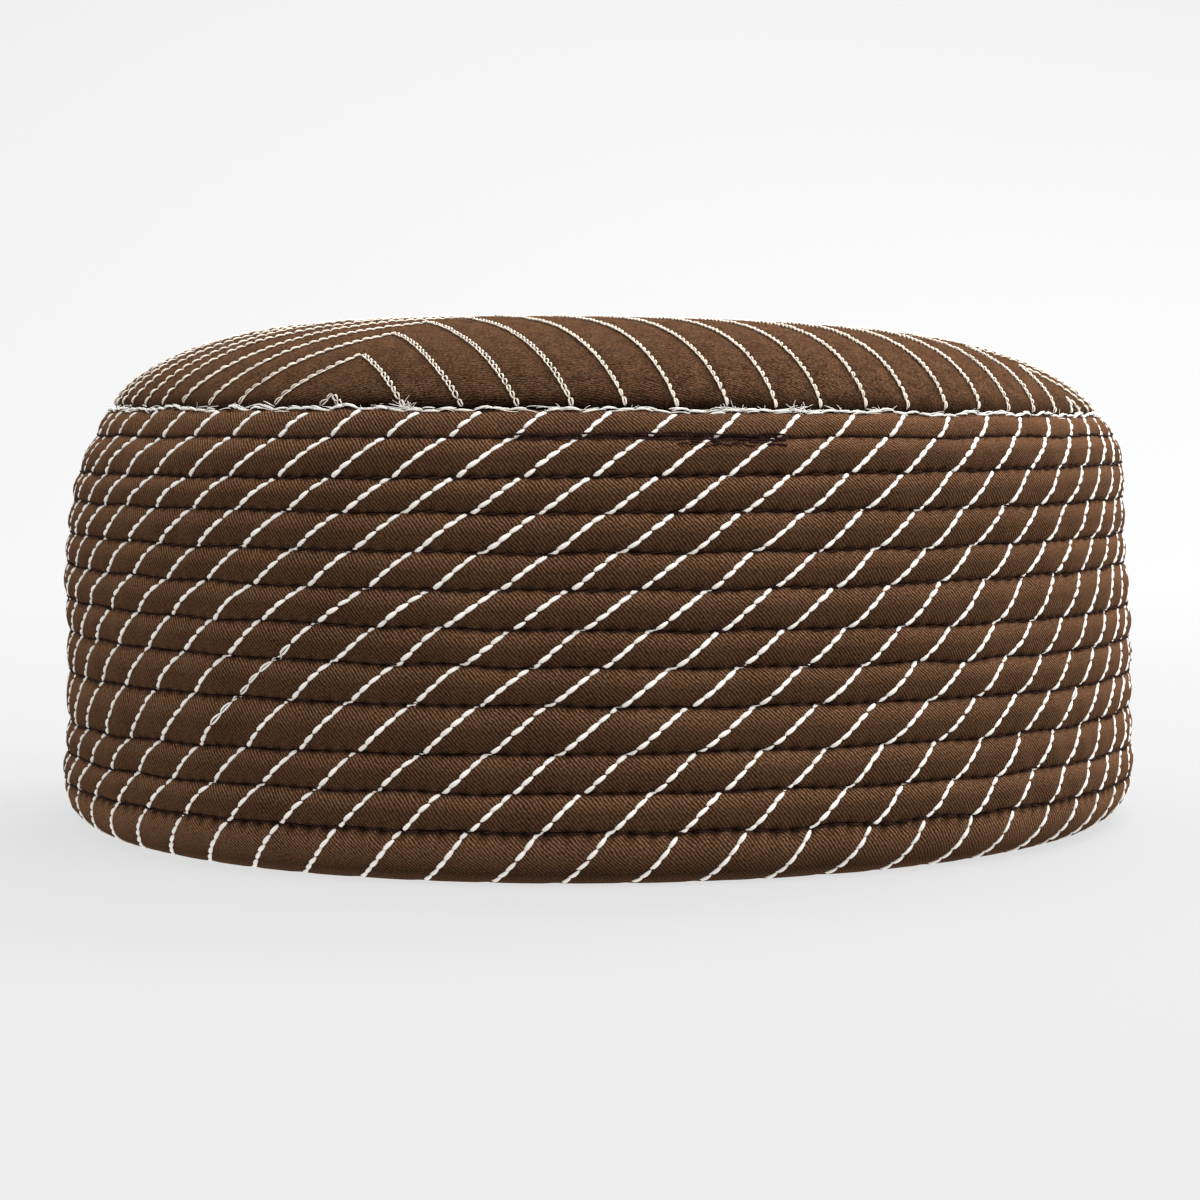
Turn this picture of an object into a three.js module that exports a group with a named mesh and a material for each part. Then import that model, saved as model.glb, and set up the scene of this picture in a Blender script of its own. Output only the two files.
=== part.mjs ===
// Quilted cotton prayer cap: a padded band sewn in twelve level rows, and a shallow
// padded crown sewn in nested chevrons, joined by one seam. The rim stands on Z = 0,
// the long axis of the head is Y, and the side shown to the front faces -Y.
// Millimetres, +Z up.
import * as THREE from "three";
import { mergeVertices } from "three/addons/utils/BufferGeometryUtils.js";

// Driving dimensions of the plan oval, at the band's widest
const HALF_WIDTH = 88;
const HALF_LENGTH = 102.5;

// The seam between band and crown
const SEAM_Z = 67.6;
const SEAM_INSET = 6.2;
const SEAM_GAP = 0.3;

// Padded cloth of the band
const BAND_WALL = 3.2;
const ROW_BULGE = 1.0;
const INNER_BULGE = 0.35;
const PAD_SAG = 0.78;
const PAD_ROUNDNESS = 0.8;

// The rim: its last row curls under to a narrow flat that the cap stands on, and is drawn in
// further at the sides of the head than at the brow and nape
const RIM_FLAT_INSET = 5;
const RIM_FLAT_WIDTH = 2;
const RIM_SIDE_PINCH = 2.3;
const RIM_CURL_POWER = 2;

// The stitched grooves of the band from the rim up: height, and distance inside the widest oval
const GROOVES = [
  { z: 7.8, inset: -0.6 },
  { z: 13.0, inset: -0.6 },
  { z: 18.6, inset: -0.3 },
  { z: 25.6, inset: 0.0 },
  { z: 31.3, inset: 0.2 },
  { z: 36.7, inset: 0.1 },
  { z: 42.6, inset: 0.5 },
  { z: 47.7, inset: 0.9 },
  { z: 53.3, inset: 1.2 },
  { z: 58.3, inset: 1.8 },
  { z: 63.6, inset: 4.0 },
];

// The crown: height over the seam, the powers of its profile, and its slight lean
const CROWN_RISE = 14.4;
const CROWN_WALL = 2.6;
const EDGE_POWER = 4.5;
const TOP_POWER = 1.37;
const LEAN_X = -0.011;
const LEAN_Y = -0.013;

// The crown's chevrons: spacing of the stitched lines on the cloth, the padding between
// them, and the turn of the cross that they nest in, from -Y towards +X
const CHEVRON_STEP = 7.5;
const CHEVRON_RELIEF = 0.7;
const CROSS_TURN = THREE.MathUtils.degToRad(27.6);

// Fineness of the faceted surfaces
const SIDES = 60;
const OUTER_STEPS_PER_ROW = 3;
const INNER_STEPS_PER_ROW = 2;
const RIM_STEPS = 4;
const PROFILE_STEPS = 400;
const ARM_STOPS = [0, 0.36, 0.64, 0.82, 0.92, 0.975, 1];

const BROWN_TWILL = { color: 0x4a2d1c, roughness: 0.9, metalness: 0 };

// A point of the oval that lies a given distance inside the widest one, at angle t from -Y
function ovalPoint(t, inset, z) {
  const x = (HALF_WIDTH - inset) * Math.sin(t);
  const y = -(HALF_LENGTH - inset) * Math.cos(t);
  return new THREE.Vector3(x, y, z);
}

// The rise of one padded row, 0 at the groove below and the groove above, and 1 at its crest,
// which sags a little below half way
function pad(fraction) {
  return Math.sin(Math.PI * fraction ** PAD_SAG) ** PAD_ROUNDNESS;
}

// Both faces of the band's straight rows, from the lowest groove up to the seam
function rowPoints(steps, bulge, depth) {
  const lines = [...GROOVES, { z: SEAM_Z - SEAM_GAP / 2, inset: SEAM_INSET }];
  const points = [];
  for (let i = 0; i + 1 < lines.length; i++) {
    const low = lines[i];
    const high = lines[i + 1];
    for (let k = 0; k < steps; k++) {
      const f = k / steps;
      const inset = THREE.MathUtils.lerp(low.inset, high.inset, f) + depth - bulge * pad(f);
      points.push({ inset, z: THREE.MathUtils.lerp(low.z, high.z, f), pinch: 0 });
    }
  }
  const top = lines[lines.length - 1];
  points.push({ inset: top.inset + depth, z: top.z, pinch: 0 });
  return points;
}

// The rim's curl, a quarter of a superellipse from the flat under the rim up to the lowest groove,
// with its share of the pinch at the sides
function curlPoints(rimInset, wallInset) {
  const points = [];
  for (let k = 0; k < RIM_STEPS; k++) {
    const angle = (Math.PI / 2) * (k / RIM_STEPS);
    const out = Math.sin(angle) ** (2 / RIM_CURL_POWER);
    const up = 1 - Math.cos(angle) ** (2 / RIM_CURL_POWER);
    const inset = THREE.MathUtils.lerp(rimInset, wallInset, out);
    points.push({ inset, z: GROOVES[0].z * up, pinch: RIM_SIDE_PINCH * (1 - out) });
  }
  return points;
}

// The closed section of the band: up its outer face, over its top edge and down its inner face
function bandSection() {
  const outer = [
    ...curlPoints(RIM_FLAT_INSET, GROOVES[0].inset),
    ...rowPoints(OUTER_STEPS_PER_ROW, ROW_BULGE, 0),
  ];
  const inner = [
    ...curlPoints(RIM_FLAT_INSET + RIM_FLAT_WIDTH, GROOVES[0].inset + BAND_WALL),
    ...rowPoints(INNER_STEPS_PER_ROW, -INNER_BULGE, BAND_WALL),
  ];
  return [...outer, ...inner.reverse()];
}

// A point of the band's section at angle t, where a pinch counts in full at the sides and not at
// all at the front and back
function bandPoint(t, point) {
  return ovalPoint(t, point.inset + point.pinch * (1 - Math.cos(t) ** 4), point.z);
}

// A closed section carried round the oval
function bandGeometry() {
  const section = bandSection();
  const corners = [];
  for (let s = 0; s < SIDES; s++) {
    const here = (2 * Math.PI * s) / SIDES;
    const next = (2 * Math.PI * ((s + 1) % SIDES)) / SIDES;
    for (let i = 0; i < section.length; i++) {
      const low = section[i];
      const high = section[(i + 1) % section.length];
      const a = bandPoint(here, low);
      const b = bandPoint(next, low);
      const c = bandPoint(next, high);
      const d = bandPoint(here, high);
      corners.push(a, b, c, a, c, d);
    }
  }
  return closedGeometry(corners);
}

// The height of the crown's profile, 1 at the centre and 0 at the seam
function crownProfile(radius) {
  return Math.max(0, 1 - radius ** EDGE_POWER) ** (1 / TOP_POWER);
}

// How far out each point of the crown's cloth comes to lie once the cloth is domed: a table of
// the length along the profile against the radius, both as shares of the whole
function domedRadii() {
  const lengths = [0];
  const meanRadius = (HALF_WIDTH + HALF_LENGTH) / 2 - SEAM_INSET;
  for (let i = 1; i <= PROFILE_STEPS; i++) {
    const inner = (i - 1) / PROFILE_STEPS;
    const outer = i / PROFILE_STEPS;
    const fall = CROWN_RISE * (crownProfile(inner) - crownProfile(outer));
    lengths.push(lengths[i - 1] + Math.hypot(meanRadius / PROFILE_STEPS, fall));
  }
  return { lengths, cloth: lengths[PROFILE_STEPS] / meanRadius };
}

const DOME = domedRadii();
const CLOTH_WIDTH = (HALF_WIDTH - SEAM_INSET) * DOME.cloth;
const CLOTH_LENGTH = (HALF_LENGTH - SEAM_INSET) * DOME.cloth;

// The share of the plan radius at which a share of the cloth's radius lies
function planShare(clothShare) {
  const target = clothShare * DOME.lengths[PROFILE_STEPS];
  let i = 1;
  while (i < PROFILE_STEPS && DOME.lengths[i] < target) i++;
  const before = DOME.lengths[i - 1];
  const part = (target - before) / (DOME.lengths[i] - before);
  return Math.min(1, (i - 1 + part) / PROFILE_STEPS);
}

// A point of the crown over a point of its flat cloth: on the outer face, or a wall below it
function crownPoint(flat, relief, depth) {
  const share = Math.min(1, Math.hypot(flat.x / CLOTH_WIDTH, flat.y / CLOTH_LENGTH));
  const radius = share > 0 ? planShare(share) : 0;
  const scale = share > 0 ? radius / share : 1 / DOME.cloth;
  const x = (flat.x / CLOTH_WIDTH) * (HALF_WIDTH - SEAM_INSET - depth) * scale;
  const y = (flat.y / CLOTH_LENGTH) * (HALF_LENGTH - SEAM_INSET - depth) * scale;
  const rise = CROWN_RISE - depth + LEAN_X * x + LEAN_Y * y;
  const padding = relief * CHEVRON_RELIEF * (1 - radius ** 8);
  return new THREE.Vector3(x, y, SEAM_Z + SEAM_GAP / 2 + rise * crownProfile(radius) + padding);
}

// Where a line that runs from a point of the flat cloth in a direction meets the cloth's edge
function edgeDistance(start, direction) {
  const dx = direction.x / CLOTH_WIDTH;
  const dy = direction.y / CLOTH_LENGTH;
  const sx = start.x / CLOTH_WIDTH;
  const sy = start.y / CLOTH_LENGTH;
  const a = dx * dx + dy * dy;
  const b = dx * sx + dy * sy;
  const c = sx * sx + sy * sy - 1;
  return (Math.sqrt(Math.max(0, b * b - a * c)) - b) / a;
}

// One chevron of a quarter: from the edge along one arm to its point on the mitre, then along
// the other arm to the edge again
function chevron(level, along, across) {
  const tip = along.clone().add(across).multiplyScalar(level);
  const firstArm = edgeDistance(tip, along);
  const secondArm = edgeDistance(tip, across);
  const points = [];
  for (const stop of [...ARM_STOPS].reverse()) {
    points.push(tip.clone().addScaledVector(along, stop * firstArm));
  }
  for (const stop of ARM_STOPS.slice(1)) {
    points.push(tip.clone().addScaledVector(across, stop * secondArm));
  }
  return points;
}

// The chevrons of one quarter: stitched lines and the padded ridges between them in turn, ending
// in the point where the mitre meets the edge
function quarterLevels(along, across) {
  const mitre = along.clone().add(across);
  const last = edgeDistance(new THREE.Vector2(), mitre);
  const half = CHEVRON_STEP / 2;
  const rows = [];
  for (let i = 0; i * half < last - half / 2; i++) {
    rows.push({ line: chevron(i * half, along, across), relief: i % 2 });
  }
  rows.push({ line: chevron(last, along, across), relief: 0 });
  return rows;
}

// The crown: four quarters of chevron rows on its outer face and the same rows, smooth, on its
// inner one, closed by a flat edge at the seam
function crownGeometry() {
  const corners = [];
  for (let quarter = 0; quarter < 4; quarter++) {
    const turn = CROSS_TURN + (quarter * Math.PI) / 2;
    const along = new THREE.Vector2(Math.sin(turn), -Math.cos(turn));
    const across = new THREE.Vector2(Math.cos(turn), Math.sin(turn));
    const rows = quarterLevels(along, across);
    const outer = rows.map((row) => row.line.map((p) => crownPoint(p, row.relief, 0)));
    const inner = rows.map((row) => row.line.map((p) => crownPoint(p, 0, CROWN_WALL)));
    for (let r = 0; r + 1 < rows.length; r++) {
      const last = rows[r].line.length - 1;
      for (let k = 0; k < last; k++) {
        addQuad(corners, outer[r][k], outer[r + 1][k], outer[r + 1][k + 1], outer[r][k + 1]);
        addQuad(corners, inner[r][k + 1], inner[r + 1][k + 1], inner[r + 1][k], inner[r][k]);
      }
      addQuad(corners, inner[r][0], inner[r + 1][0], outer[r + 1][0], outer[r][0]);
      addQuad(corners, outer[r][last], outer[r + 1][last], inner[r + 1][last], inner[r][last]);
    }
  }
  return closedGeometry(corners);
}

// Two triangles, without the ones that have shrunk to a line
function addQuad(corners, a, b, c, d) {
  const SMALLEST_EDGE = 1e-2;
  for (const [p, q, r] of [[a, b, c], [a, c, d]]) {
    const edges = [p.distanceTo(q), q.distanceTo(r), r.distanceTo(p)];
    if (Math.min(...edges) > SMALLEST_EDGE) corners.push(p, q, r);
  }
}

// A geometry of triangles whose equal corners are merged
function closedGeometry(corners) {
  const geometry = new THREE.BufferGeometry().setFromPoints(corners);
  const merged = mergeVertices(geometry, 1e-3);
  merged.computeVertexNormals();
  return merged;
}

function clothMesh(name, geometry) {
  const mesh = new THREE.Mesh(geometry, new THREE.MeshStandardMaterial(BROWN_TWILL));
  mesh.name = name;
  return mesh;
}

const cap = new THREE.Group();
cap.add(clothMesh("band", bandGeometry()));
cap.add(clothMesh("crown", crownGeometry()));

export default cap;
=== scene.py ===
"""A quilted cotton prayer cap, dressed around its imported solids.

The cloth of the band and the crown, each chain stitch and lock stitch on them, and the loose
fibres at the seam are surfaces and tubes worked out with numpy. Lengths are in millimetres
until a mesh is made, and then in metres.

The band is drawn on two coordinates: the length s round the widest oval, from the front towards
the wearer's left (+X), and the row coordinate v, 0 under the rim, a whole number at each stitched
groove, and ROWS at the seam. The crown is drawn on its flat cloth, before it was domed.
"""

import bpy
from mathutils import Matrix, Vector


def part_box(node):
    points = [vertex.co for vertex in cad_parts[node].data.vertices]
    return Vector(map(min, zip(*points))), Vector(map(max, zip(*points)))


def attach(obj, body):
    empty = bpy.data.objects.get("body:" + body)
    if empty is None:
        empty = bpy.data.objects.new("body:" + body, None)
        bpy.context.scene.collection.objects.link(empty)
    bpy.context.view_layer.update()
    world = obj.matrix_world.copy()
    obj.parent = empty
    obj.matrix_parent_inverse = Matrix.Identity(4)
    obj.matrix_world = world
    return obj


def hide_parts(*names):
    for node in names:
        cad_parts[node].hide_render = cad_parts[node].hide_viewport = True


bl_info = {
    "name": "Quilted Prayer Cap",
    "version": (1, 0, 0),
    "blender": (4, 5, 0),
    "location": "View3D > Sidebar > Cap",
    "description": "Makes the padded cloth and the stitching of a quilted cotton prayer cap",
    "category": "Add Mesh",
}

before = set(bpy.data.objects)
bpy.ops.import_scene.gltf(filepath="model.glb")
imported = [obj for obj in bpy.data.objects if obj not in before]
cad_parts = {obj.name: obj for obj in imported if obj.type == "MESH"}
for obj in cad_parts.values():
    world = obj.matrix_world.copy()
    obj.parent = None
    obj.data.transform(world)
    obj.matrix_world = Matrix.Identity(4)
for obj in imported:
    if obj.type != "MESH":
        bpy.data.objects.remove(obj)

import math

import bpy
import numpy as np
from mathutils import Matrix, Vector

MM = 0.001
BODY = "root"

# The plan oval, which lies inside the band's fullest row, and the seam's height and distance inside
# the oval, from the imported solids
BAND_BOX = [np.array(corner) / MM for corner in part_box("band")]
CROWN_BOX = [np.array(corner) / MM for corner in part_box("crown")]
FULLEST_ROW = 1.58
HALF_WIDTH = BAND_BOX[1][0] - FULLEST_ROW
HALF_LENGTH = BAND_BOX[1][1] - FULLEST_ROW
SEAM_Z = (BAND_BOX[1][2] + CROWN_BOX[0][2]) / 2
SEAM_INSET = 6.2
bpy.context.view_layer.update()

# The stitched lines of the band from under the rim up to the seam: height, distance inside the
# widest oval, sideways sway of the whole oval and of its sides alone, rise from the middle of the
# front towards +X, and rise of the sides over the front
LEVEL_COLUMNS = ("height", "inset", "sway", "side_sway", "lean", "bow")
LEVEL_ROWS = (
    (0.0, 5.0, -0.3, 0.0, 0.0, 0.0),
    (7.9, -0.6, -0.2, 0.0, 0.1, 0.0),
    (13.0, -0.2, 0.0, 0.0, 0.5, -0.8),
    (18.5, 0.2, 0.0, 0.0, 0.9, -0.9),
    (25.5, 0.1, 0.0, 0.0, -0.3, -0.6),
    (31.4, 0.2, 0.0, 0.0, -0.8, 0.0),
    (36.7, 0.1, 0.0, -0.3, -0.8, 0.0),
    (42.6, 0.4, 0.2, -0.8, -0.1, 0.8),
    (47.7, 0.8, 0.4, -0.9, -0.1, 0.4),
    (53.2, 1.2, 0.6, -0.8, 0.1, 0.2),
    (58.2, 1.8, 0.8, -0.5, 0.7, 0.3),
    (63.6, 4.0, 0.9, 0.0, 0.0, -0.2),
    (SEAM_Z - 0.25, SEAM_INSET, 0.8, 0.0, -0.5, -0.5),
)
LEVELS = dict(zip(LEVEL_COLUMNS, np.array(LEVEL_ROWS).T))
ROWS = len(LEVEL_ROWS) - 1
FIRST_GROOVE = LEVELS["height"][1]

# How far a groove, and the seam, wander from their levels
GROOVE_WANDER = 0.14
SEAM_WANDER = 0.14

# The rim's curl, drawn in further at the sides, and the wall
RIM_SIDE_PINCH = 1.6
RIM_FLAT_WIDTH = 2.0
RIM_CURL_POWER = 2.0
BAND_WALL = 3.2

# The padding of the rows: the height of a usual row, how full the first and the last are, the share
# of its swelling that a row lacks at the sides, how its crest sags and how round it is, how far a
# usual row swells and how unevenly it is filled; and that of the shallow channels inside
USUAL_ROW = 5.5
END_FULLNESS = 0.85
SIDE_FLATTENING = 0.35
PAD_SAG = 0.8
RIM_PAD_SAG = 1.5
PAD_ROUNDNESS = 0.62
USUAL_PADDING = 1.1
UNEVENNESS = 0.13
INNER_PADDING = 0.35
INNER_ROUNDNESS = 0.8

# What the stitches do to the padding: the width of a chain stitch line's dent and the share of its
# depth left in a groove, the depth and the width of a lock stitch's pucker, and the depth of the
# soft crumple and how fast it changes up a row
DENT_WIDTH = 0.75
DENT_IN_GROOVE = 0.3
PUCKER_DEPTH = 0.16
PUCKER_WIDTH = 0.9
CRUMPLE_DEPTH = 0.05
CRUMPLE_RATE = 3.1

# The painted shade of a row, in shares of its height: how dark its lower part is, how much darker
# at the rim and paler in the last row, how gently this row sets in, where the shade ends and over
# how much it fades; how dark the painted line of shade over a groove is beside it, how far that
# line reaches and how much further at a needle's hole; and how far up the painted black of the
# shadow under the rim reaches
SHADE = {"depth": 0.57, "rim": 1.0, "top": 0.3, "last": 0.1, "end": 0.9, "fade": 0.45,
         "line": 0.42, "reach": 0.055, "pulled": 0.045, "under": 0.28}

# The slanting lines of chain stitch: how many go round, where one of them crosses the height
# LINE_HEIGHT, how far each slides along per millimetre down, at that height and per millimetre
# more, and how much further they slide under the rim on the side of -X, and less on that of +X
LINE_COUNT = 60
LINE_START = -84.4
LINE_HEIGHT = 60.95
LINE_SLIDE = 1.5235
LINE_STEEPENING = 0.00368
RIM_SLIDE = 4.5

# The distance across a slanting line for each millimetre along the row
LINE_SLANT = 0.62

# The crown's profile, as in the solids: its rise, its wall, the powers of its superellipse, and how
# much more it rises per millimetre towards +X and +Y
CROWN_RISE = 14.4
CROWN_WALL = 2.6
EDGE_POWER = 4.5
TOP_POWER = 1.37
LEAN_X = -0.011
LEAN_Y = -0.013

# Where, and how far, the crown's edge tucks in under the seam
TUCK_FROM = 0.972
TUCK = 0.7

# The padding of the crown: how far from a stitched line it is full, how steeply it gets there and
# how close to the seam it stays; and its soft crumple: depth, and waves to 2 pi mm, fine and broad
CROWN_PAD = {"reach": 1.15, "power": 1.5, "edge": 40}
CROWN_CRUMPLE = ((0.04, 0.83, 0.31), (0.03, 1.07, 0.27))

# The painted shade of the crown: how dark a stitched line is and how wide, from where on the crease
# at the seam darkens, how dark the painted shade is on the side of -X, where less light falls, and
# over how many half widths it fades
CROWN_SHADE = {"line": 0.45, "width": 0.9, "crease": 0.95, "side_shade": 0.36, "fade": 1.6}

# The cross that the chevrons nest in, turned from -Y towards +X, and its quarters from there on
# round: where the lines start from, their spacing, and how far they crowd towards the edge
CROSS_TURN = math.radians(27.2)
QUARTER_COLUMNS = ("first", "step", "crowding")
QUARTER_ROWS = (
    (0.0, 7.3, 2.1),
    (0.0, 7.5, 0.6),
    (0.0, 7.4, 0.8),
    (-0.2, 7.55, 0.6),
)
QUARTERS = [dict(zip(QUARTER_COLUMNS, row)) for row in QUARTER_ROWS]
CROWDING_SPAN = 60.0
MOST_LINES = 16

# The camera: where the lens stands, how far it looks down, how far it is turned, and its focal length
CAMERA_PLACE = (81.87, -605.97, 67.43)
CAMERA_DIP = math.radians(2.985)
CAMERA_TURN = math.radians(7.74)
LENS = 108.39
SENSOR = 36.0


def linear(code):
    """The linear colour, with alpha 1, of an sRGB hex code, by the sRGB curve."""
    parts = [int(code[i:i + 2], 16) / 255 for i in (1, 3, 5)]
    return [p / 12.92 if p <= 0.04045 else ((p + 0.055) / 1.055) ** 2.4 for p in parts] + [1.0]


class CapSizes(bpy.types.PropertyGroup):
    """Sizes of the padding and the thread that a user may change."""

    row_padding: bpy.props.FloatProperty(
        name="Row padding", description="How far a row of the band swells between its grooves",
        default=0.00125, unit="LENGTH", subtype="DISTANCE")
    crown_padding: bpy.props.FloatProperty(
        name="Crown padding", description="How far the crown swells between its stitched lines",
        default=0.0003, unit="LENGTH", subtype="DISTANCE")
    line_dent: bpy.props.FloatProperty(
        name="Line dent", description="How deep a line of chain stitch sinks into the padding",
        default=0.00032, unit="LENGTH", subtype="DISTANCE")
    chain_length: bpy.props.FloatProperty(
        name="Chain stitch length", description="From one chain stitch to the next",
        default=0.0021, unit="LENGTH", subtype="DISTANCE")
    chain_thread: bpy.props.FloatProperty(
        name="White thread", description="Thickness of the white thread",
        default=0.0005, unit="LENGTH", subtype="DISTANCE")
    lock_length: bpy.props.FloatProperty(
        name="Lock stitch length", description="From one dark lock stitch to the next",
        default=0.003, unit="LENGTH", subtype="DISTANCE")
    lock_thread: bpy.props.FloatProperty(
        name="Dark thread", description="Thickness of the dark thread",
        default=0.00038, unit="LENGTH", subtype="DISTANCE")


class CapColours(bpy.types.PropertyGroup):
    """Colours of the cloth, the threads and the floor."""

    twill_light: bpy.props.FloatVectorProperty(
        name="Twill rib", description="The cloth's colour on the ribs of its weave",
        size=4, default=linear("#7e5b41"), subtype="COLOR", min=0, max=1)
    twill_dark: bpy.props.FloatVectorProperty(
        name="Twill furrow", description="The cloth's colour between the ribs of its weave",
        size=4, default=linear("#2c1d16"), subtype="COLOR", min=0, max=1)
    white_thread: bpy.props.FloatVectorProperty(
        name="White thread", description="The colour of the band's chain stitch",
        size=4, default=linear("#eeeae2"), subtype="COLOR", min=0, max=1)
    yellowed_thread: bpy.props.FloatVectorProperty(
        name="Yellowed thread", description="The colour of the crown's chain stitch",
        size=4, default=linear("#e0d5c6"), subtype="COLOR", min=0, max=1)
    dark_thread: bpy.props.FloatVectorProperty(
        name="Dark thread", description="The colour of the lock stitch",
        size=4, default=linear("#33211d"), subtype="COLOR", min=0, max=1)
    floor: bpy.props.FloatVectorProperty(
        name="Floor", description="The colour of the floor and the backdrop",
        size=4, default=linear("#454545"), subtype="COLOR", min=0, max=1)


# Shape of the band


# Points of the tables: round the oval, up each row and out along the crown's profile
OVAL_POINTS = 4097
SECTION_POINTS = 48
DOME_POINTS = 1201


def oval_table():
    """Angle from the front towards +X, and length round the widest oval to each angle.
    The length is the sum of the chords between neighbouring points, 0 at the front."""
    angle = np.linspace(-np.pi, np.pi, OVAL_POINTS)
    chords = np.hypot(np.diff(HALF_WIDTH * np.sin(angle)), np.diff(HALF_LENGTH * np.cos(angle)))
    length = np.concatenate([[0.0], np.cumsum(chords)])
    return angle, length - length[-1] / 2, length[-1]


OVAL_ANGLE, OVAL_LENGTH, GIRTH = oval_table()


def oval_angle(s):
    """The angle at a length round the oval, for any whole number of turns, from the table."""
    wrapped = (s + GIRTH / 2) % GIRTH - GIRTH / 2
    return np.interp(wrapped, OVAL_LENGTH, OVAL_ANGLE)


# The most that a random wave's phase drifts from one row to the next
WOBBLE_DRIFT = 2.2


def wobble(s, v, seed, waves, shortest, longest):
    """A smooth random height of about -1 to 1 that closes round the oval: a sum of sines in s,
    each with a whole number of waves round the girth, whose phase drifts with v."""
    draw = np.random.default_rng(seed)
    counts = draw.integers(int(GIRTH / longest), int(GIRTH / shortest) + 1, waves)
    phases = draw.uniform(0, 2 * np.pi, waves)
    drifts = draw.uniform(-WOBBLE_DRIFT, WOBBLE_DRIFT, waves)
    total = 0.0
    for count, phase, drift in zip(counts, phases, drifts):
        total = total + np.sin(2 * np.pi * count * s / GIRTH + drift * v + phase)
    return total / math.sqrt(waves)


def section_table():
    """The plain section of the wall over the row coordinate, before its padding swells: inset,
    height, outward normal and the share of the pinch. Straight between grooves, and a quarter of
    a superellipse at the rim."""
    v = np.linspace(0, ROWS, ROWS * SECTION_POINTS + 1)
    lines = np.arange(ROWS + 1)
    inset = np.interp(v, lines, LEVELS["inset"])
    height = np.interp(v, lines, LEVELS["height"])
    quarter = np.pi / 2 * np.minimum(v, 1)
    curl = 1 - np.sin(quarter) ** (2 / RIM_CURL_POWER)
    rim = v < 1
    inset[rim] = LEVELS["inset"][1] + (LEVELS["inset"][0] - LEVELS["inset"][1]) * curl[rim]
    height[rim] = FIRST_GROOVE * (1 - np.cos(quarter[rim]) ** (2 / RIM_CURL_POWER))
    out, up = np.gradient(height, v), np.gradient(inset, v)
    size = np.hypot(out, up)
    return {"v": v, "inset": inset, "height": height, "out": out / size, "up": up / size,
            "pinch": RIM_SIDE_PINCH * curl}


SECTION = section_table()


def section_at(v, column):
    """A column of the plain section at a row coordinate, straight between its points."""
    return np.interp(v, SECTION["v"], SECTION[column])


def row_part(v):
    """How far up its row a point is, 0 at the groove below and 1 at the groove above."""
    return np.clip(v - np.minimum(np.floor(v), ROWS - 1), 0, 1)


def pad_shape(v):
    """The swelling of a row: a power of a sine, 0 at its grooves and 1 at its crest, which sags
    below half way. The rim's row swells mostly above its curl."""
    sag = np.where(v < 1, RIM_PAD_SAG, PAD_SAG)
    return np.sin(np.pi * row_part(v) ** sag) ** PAD_ROUNDNESS * np.minimum(v, 1)


def stitch_beat(s, sizes):
    """A cosine round the band: 1 where the needle of the lock stitch has gone in, and -1 half way
    to the next hole."""
    count = round(GIRTH / (sizes.lock_length / MM))
    return np.cos(2 * np.pi * count * (s / GIRTH + 0.5))


def groove_shade(s, v, sizes):
    """How dark a row is painted as shade, where less light reaches it: far up from the groove below it,
    most of all at the rim and least in the last row, painted black as the shadow under the rim and for
    a thread's breadth on both sides of a groove, and further where the needle has pulled the cloth in."""
    part = row_part(v)
    rim = np.minimum(v, 1)
    last = np.clip(v - ROWS + 1, 0, 1) ** SHADE["last"]
    # painted shade over the lower part of the row, fading out towards its top
    shade_fade = np.clip((SHADE["end"] - part) / SHADE["fade"], 0, 1)
    depth = SHADE["depth"] + SHADE["rim"] * rim * (1 - rim) - SHADE["top"] * last
    reach = SHADE["reach"] + SHADE["pulled"] * stitch_beat(s, sizes)
    sewn = np.minimum(v * 2, 1)
    over_groove = SHADE["line"] * sewn * np.exp(-(part / reach) ** 2)
    under_groove = sewn * np.exp(-((1 - part) / reach) ** 2)
    # painted black for the shadow under the rim
    under_rim = np.exp(-(v / SHADE["under"]) ** 2)
    low = depth * shade_fade ** 2 * (3 - 2 * shade_fade) + over_groove
    return np.maximum(np.maximum(low, under_rim), under_groove)


def row_fullness(v):
    """How full each row is beside a usual one, by the root of its height: the curled rim and the
    last row under the seam less so."""
    row = np.minimum(np.floor(v), ROWS - 1).astype(int)
    fullness = np.full(ROWS, END_FULLNESS)
    fullness[1:-1] = np.sqrt(np.diff(LEVELS["height"])[1:-1] / USUAL_ROW)
    return fullness[row]


def cloth_table():
    """Length of cloth from under the rim up over the padded rows, against the row coordinate: the
    sum of the chords of the section, swollen by a usual padding."""
    v = SECTION["v"]
    swell = USUAL_PADDING * pad_shape(v) * row_fullness(v)
    out = -SECTION["inset"] + swell * SECTION["out"]
    up = SECTION["height"] + swell * SECTION["up"]
    return np.concatenate([[0.0], np.cumsum(np.hypot(np.diff(out), np.diff(up)))])


CLOTH = cloth_table()


def cloth_at(v):
    """The length of cloth up to a row coordinate."""
    return np.interp(v, SECTION["v"], CLOTH)


def line_slide(s, v):
    """How far a slanting line has slid round at a row coordinate. At a groove it follows the
    groove's height, and between two grooves it advances evenly with the length of cloth. Under
    the rim it slides further on the side of -X and less on that of +X."""
    drop = LINE_HEIGHT - LEVELS["height"]
    at_grooves = -(LINE_SLIDE * drop - LINE_STEEPENING * drop * np.abs(drop))
    slide = np.interp(cloth_at(v), cloth_at(np.arange(ROWS + 1.0)), at_grooves)
    return slide + RIM_SLIDE * np.sin(oval_angle(s)) * np.clip(1 - v, 0, 1)


def line_distance(s, v):
    """Distance across the nearest slanting line: the way round to it, times the slant."""
    spacing = GIRTH / LINE_COUNT
    along = (s - LINE_START - line_slide(s, v) + spacing / 2) % spacing - spacing / 2
    return along * LINE_SLANT


def at_level(values, v):
    """Values that are known at the stitched lines, in between."""
    return np.interp(v, np.arange(ROWS + 1), values)


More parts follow.
